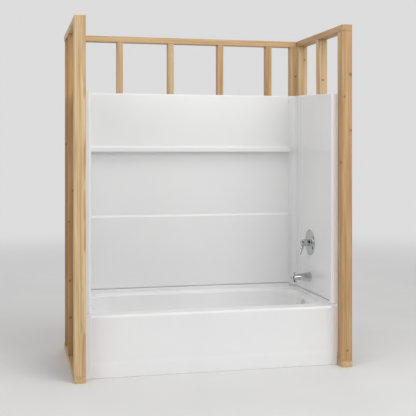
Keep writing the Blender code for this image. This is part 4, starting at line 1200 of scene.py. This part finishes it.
link_x = riser_x - 0.00094
link_y = 0.0055
link_foot = 0.1138
eye = at(link_x, overflow_z + 0.00823, link_y)
eye_ring = ring("plunger_link", 0.0038, 0.0054, 0, 0.002, eye, inwards, 0.0004, 3, 48)
link_start = at(link_x, link_foot, link_y + 0.001)
link_long = overflow_z + 0.0037 - link_foot
shaft = rod("link_shaft", link_start, upwards, link_long, link_radius, sides=24)
settle(cut_away(eye_ring, shaft, operation="UNION"), brass, "linkage_rod", body="drain_plunger")
plunger_outline = [(0, 0.030), (0.0100, 0.030), (0.0146, 0.0265), (0.0146, 0.0185), (0.0132, 0.0180)]
plunger_outline += [(0.0132, 0.0150), (0.0146, 0.0145), (0.0146, 0.0020), (0.0130, 0), (0, 0)]
plunger_seat = at(riser_x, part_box("plunger")[0].z)
plunger = lathe("brass_plunger", rounded(plunger_outline, 0.0006), plunger_seat)
socket_start = at(link_x, link_foot - seat_gap, link_y + 0.001)
link_socket = rod("link_socket", socket_start, upwards, 0.03, 0.0017, sides=24)
settle(cut_away(plunger, link_socket), brass, "plunger", body="drain_plunger")

# The mixing valve in the wall: a cast brass body with four ports, the cartridge under its bonnet
# nut, ears for the trim screws, and a plug in the port that a shower would take.
valve_x = 0.784
port_reach = 0.036
port_radius = 0.0115
port_way = 0.0082
cartridge_way = 0.0178
trim_screws_apart = 0.038
ports = ((1, 0), (-1, 0), (0, 1), (0, -1))
body_front = end_wall_x + 0.007
body_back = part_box("valve_body")[1].x
body = casting(
    "valve_casting",
    [
        (at(body_back, valve_z), into_room, body_back - body_front, 0.027),
        (at(body_front + 0.006, valve_z), outwards, 0.010, 0.0285),
        (at(valve_x, valve_z, -port_reach), inwards, 2 * port_reach, port_radius),
        (at(valve_x, valve_z - port_reach), upwards, 2 * port_reach, port_radius),
        *[(at(valve_x, valve_z + z * 0.029, y * 0.029), (0, y, z), 0.0068, 0.0132) for y, z in ports],
    ],
    [
        (at(body_front + 0.034, valve_z), into_room, 0.05, cartridge_way),
        *[(at(valve_x, valve_z + z * 0.024, y * 0.024), (0, y, z), 0.02, port_way) for y, z in ports],
    ],
)
settle(body, brass, "valve_body")
for name, low_y, high_y, way_y in (
    ("front", -0.0425, -0.0262, -trim_screws_apart),
    ("back", 0.0262, 0.0425, trim_screws_apart),
):
    ear_low = at(body_front, valve_z - port_radius, low_y)
    ear_high = at(body_front + 0.004, valve_z + port_radius, high_y)
    ear_way = rod("ear_way", at(body_front - 0.005, valve_z, way_y), outwards, 0.02, 0.0025, sides=24)
    settle(cut_away(boxes(f"valve_ear_{name}", [(ear_low, ear_high)], 0.0012), ear_way), brass)
screw_pair("escutcheon", end_wall_x - seat_gap - 0.01085, trim_screws_apart, valve_z, 0.0215)
cartridge_outline = [(0, 0.0457), (0.0155, 0.0457), (0.0175, 0.0437), (0.0175, 0), (0, 0)]
cartridge_seat = at(body_front + 0.0337, valve_z)
cartridge = lathe("white_cartridge", rounded(cartridge_outline, 0.0008), cartridge_seat, into_room)
stem_way = rod("stem_way", at(body_front + 0.002, valve_z), into_room, 0.03, 0.0054, sides=32)
settle(cut_away(cartridge, stem_way), white_plastic, "valve_cartridge")
bonnet_nut = lathe(
    "notched_bonnet_nut",
    [(cartridge_way, 0), (0.0225, 0), (0.0225, 0.0105), (0.0208, 0.012), (cartridge_way, 0.012)],
    at(body_front - seat_gap, valve_z),
    into_room,
    swell=lambda reach, i: -0.0012 if reach > 0.02 and i % 12 in (0, 1) else 0,
)
settle(bonnet_nut, brass, "bonnet_nut")
plug_low, plug_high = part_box("shower_port_plug")
flange_z = valve_z + port_reach + seat_gap
plug = cut_away(
    rod("hex_port_plug", at(valve_x, plug_low.z), upwards, plug_high.z - plug_low.z, pipe_radius, 0.0006),
    rod("plug_flange", at(valve_x, flange_z), upwards, plug_high.z - flange_z, port_radius, sides=6),
    operation="UNION",
)
settle(plug, brass, "shower_port_plug", angle=25)
stem_low, stem_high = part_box("valve_stem")
stem = rod("brass_stem", at(stem_high.x, valve_z), into_room, stem_high.x - stem_low.x, 0.005, 0.0006, 48)
settle(stem, brass, "valve_stem", body="handle")

# The valve's trim: a wide domed plate over the hole in the panel, a sleeve over the cartridge, and
# a lever handle that hangs straight down when the water is off. All chromed.
rose_back = end_wall_x - seat_gap
rose_seat = at(rose_back, valve_z)
rose_outline = [(0.0235, 0.0108), (0.0300, 0.0110), (0.0430, 0.0108), (0.0445, 0.0088), (0.0460, 0.0088)]
rose_outline += [(0.0472, 0.0098), (0.0640, 0.0078), (0.0765, 0.0050), (0.0780, 0.0024), (0.0795, 0.0024)]
rose_outline += [(0.0808, 0.0044), (0.0832, 0.0040), (0.0840, 0.0015), (0.0840, 0), (0.0824, 0)]
rose_outline += [(0.0775, 0.0022), (0.0760, 0.0030), (0.0600, 0.0052), (0.0450, 0.0070), (0.0430, 0.0086)]
rose_outline += [(0.0235, 0.0094)]
rose_outline = rounded(rose_outline, 0.0012, 5, closed=True)
settle(lathe("chrome_escutcheon", rose_outline, rose_seat, into_room, 160), chrome, "escutcheon")
sleeve = ring("chrome_sleeve", 0.0220, 0.0232, 0.0096, 0.0370, rose_seat, into_room, 0.0005)
settle(sleeve, chrome, "trim_sleeve")

handle_root = 0.7097
hub_radius = 0.0215
lever_x = handle_root - 0.028 * 0.45
hub_outline = [(0, 0.0280), (0.0118, 0.0272), (0.0185, 0.0230), (0.0213, 0.0150), (hub_radius, 0.0060)]
hub_outline += [(0.0205, 0.0052), (0.0205, 0.0040), (hub_radius, 0.0032), (hub_radius, 0), (0, 0)]
hub = lathe("lever_handle_piece", rounded(hub_outline, 0.0009), at(handle_root, valve_z), into_room)
lever_shares = (
    (0.0, 0.44, 0.44),
    (0.20, 0.42, 0.42),
    (0.45, 0.42, 0.40),
    (0.75, 0.50, 0.42),
    (0.93, 0.56, 0.42),
    (0.985, 0.50, 0.35),
    (1.0, 0.34, 0.20),
)
arm_sections = []
for share, wide, thick in smooth_rows(lever_shares):
    x, z = lever_x - 0.022 * share**1.5, valve_z - 0.081 * share
    oval = squared_ring(40, 0.75)
    arm_sections.append([at(x + hub_radius * thick * a, z, hub_radius * wide * b) for a, b in oval])
handle = cut_away(hub, loft("lever_arm", arm_sections), operation="UNION")
handle_way = rod("handle_way", at(handle_root + 0.01, valve_z), into_room, 0.0268, 0.0053, sides=32)
settle(cut_away(handle, handle_way), chrome, "lever_handle", body="handle")

# The water pipes: drawn copper up from the floor plate to the valve and down from it to the brass
# elbow behind the spout, soldered at every joint.
copper = surface(
    "drawn_copper", (0.50, 0.22, 0.12), (0.74, 0.40, 0.26), (0.20, 0.42), 1.0, 22.0, (0.12, 0.0003)
)
solder = surface(
    "soft_solder", (0.42, 0.42, 0.40), (0.60, 0.60, 0.58), (0.28, 0.45), 1.0, 60.0, (0.5, 0.0005)
)
pipe_bore = 0.0068
nipple_bore = 0.0063
pipe_reach = 0.0565
pipe_bend = 0.020
solder_reach = port_reach + 0.0001


def pipe(name, path, bore, across=outwards, sides=48):
    """A pipe with open ends along a path that lies square to one direction."""
    across = Vector(across)
    shells = []
    for reach in (pipe_radius, bore):
        rows = []
        for i, here in enumerate(path):
            run = Vector(path[min(i + 1, len(path) - 1)]) - Vector(path[max(i - 1, 0)])
            other = run.normalized().cross(across)
            rows.append(
                [Vector(here) + across * reach * cos(a) + other * reach * sin(a) for a in turns(sides)]
            )
        shells.append(rows)
    return loft(name, shells[0] + shells[1][::-1], closed=True)


def solder_ring(name, place, direction):
    """The bright fillet where a pipe enters its fitting."""
    inner = pipe_radius - 0.0002
    outline = [(inner, 0), (pipe_radius + 0.0019, 0), (pipe_radius + 0.0006, 0.0011), (inner, 0.0018)]
    made = lathe(name, rounded(outline, 0.0003, 3, closed=True), place, direction, 48)
    settle(made, solder)


for name, turn in (("hot_supply_pipe", -1), ("cold_supply_pipe", 1)):
    bend_line = arc((pipe_reach - pipe_bend, valve_z - pipe_bend), pipe_bend, 0, 90, 12)
    path = [(pipe_reach, 0.002), (pipe_reach, 0.35), *bend_line, (0.0245, valve_z)]
    path = [at(valve_x, z, turn * y) for y, z in path]
    settle(pipe(f"copper_{name}", path, pipe_bore), copper, name)
    solder_ring(f"solder_{name}", at(valve_x, valve_z, turn * solder_reach), (0, turn, 0))
drop_low, drop_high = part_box("spout_drop_pipe")
drop_path = [at(valve_x, drop_low.z), at(valve_x, drop_high.z)]
settle(pipe("copper_spout_drop_pipe", drop_path, pipe_bore), copper, "spout_drop_pipe")
solder_ring("solder_drop_top", at(valve_x, valve_z - solder_reach), (0, 0, -1))
elbow_low, elbow_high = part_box("spout_elbow")
elbow = casting(
    "brass_elbow",
    [
        (at(elbow_high.x, spout_z), into_room, elbow_high.x - elbow_low.x, port_radius),
        (at(valve_x, spout_z), upwards, 0.022, 0.0113),
        (at(valve_x, spout_z + 0.016), upwards, 0.0058, 0.0126),
        (at(elbow_low.x + 0.006, spout_z), into_room, 0.0058, 0.0126),
    ],
    [
        (at(valve_x, spout_z + 0.010), upwards, 0.02, port_way),
        (at(elbow_low.x + 0.012, spout_z), into_room, 0.02, port_way),
    ],
)
settle(elbow, brass, "spout_elbow")
solder_ring("solder_drop_foot", at(valve_x, spout_z + 0.0221), upwards)
nipple_low, nipple_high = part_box("spout_nipple")
nipple_path = [at(nipple_high.x, spout_z), at(nipple_low.x, spout_z)]
settle(pipe("brass_nipple", nipple_path, nipple_bore, inwards), brass, "spout_nipple")

# The spout: a chromed casting that screws up against the panel, its nose turned down over the
# bath. A knob on top lifts a brass gate inside.
spout_long = 0.130
spout_base = 0.0325
spout_shares = (
    (0.0, 0.96, 0.96, 0.0),
    (0.012, 1.0, 1.0, 0.0),
    (0.045, 1.0, 1.0, 0.0),
    (0.070, 0.94, 0.93, 0.0),
    (0.20, 0.91, 0.88, 0.0),
    (0.45, 0.82, 0.75, 0.01),
    (0.78, 0.67, 0.58, 0.0),
    (0.93, 0.60, 0.50, -0.10),
    (0.985, 0.46, 0.36, -0.22),
    (1.0, 0.24, 0.18, -0.30),
)
spout_sections = []
for along, wide, high, lift in smooth_rows(spout_shares):
    x = rose_back - spout_long * along
    spout_sections.append(
        [
            at(x, spout_z + spout_base * (lift + high * sin(a)), spout_base * wide * cos(a))
            for a in turns(72)
        ]
    )
outlet_x = rose_back - spout_long * 0.84
way_end = rose_back - 0.030
lip_outline = [(0, 0), (0.0162, 0), (0.0156, -0.030), (0.0150, -0.034), (0, -0.034)]
lip = lathe("spout_lip", rounded(lip_outline, 0.0010), at(outlet_x, spout_z))
spout = cut_away(
    cut_away(loft("chrome_spout", spout_sections), lip, operation="UNION"),
    rod("outlet_way", at(outlet_x, spout_z - 0.044), upwards, 0.0525, 0.0125),
    rod("nipple_way", at(rose_back + 0.01, spout_z), into_room, 0.045, port_way),
    rod("water_way", at(way_end, spout_z), into_room, way_end - outlet_x, nipple_bore),
    rod("shaft_way", at(outlet_x, spout_z), upwards, spout_base, 0.0023, sides=24),
)
settle(spout, chrome, "tub_spout")
knob_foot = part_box("diverter_knob")[0].z
knob_outline = [(0, 0.0130), (0.0044, 0.0126), (0.0058, 0.0108), (0.0058, 0.0092), (0.0054, 0.0088)]
knob_outline += [(0.0054, 0.0082), (0.0058, 0.0078), (0.0058, 0.0062), (0.0036, 0.0040), (0.0034, 0), (0, 0)]
knob_outline = rounded(knob_outline, 0.0004, 3)
knob = lathe("chrome_diverter_knob", knob_outline, at(outlet_x, knob_foot), sides=48)
knob_way = rod("knob_way", at(outlet_x, knob_foot - 0.005), upwards, 0.0131, 0.0021, sides=24)
settle(cut_away(knob, knob_way), chrome, "diverter_knob", body="diverter")
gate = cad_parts["diverter_gate"]
for slot in gate.material_slots:
    slot.link = "OBJECT"
    slot.material = brass
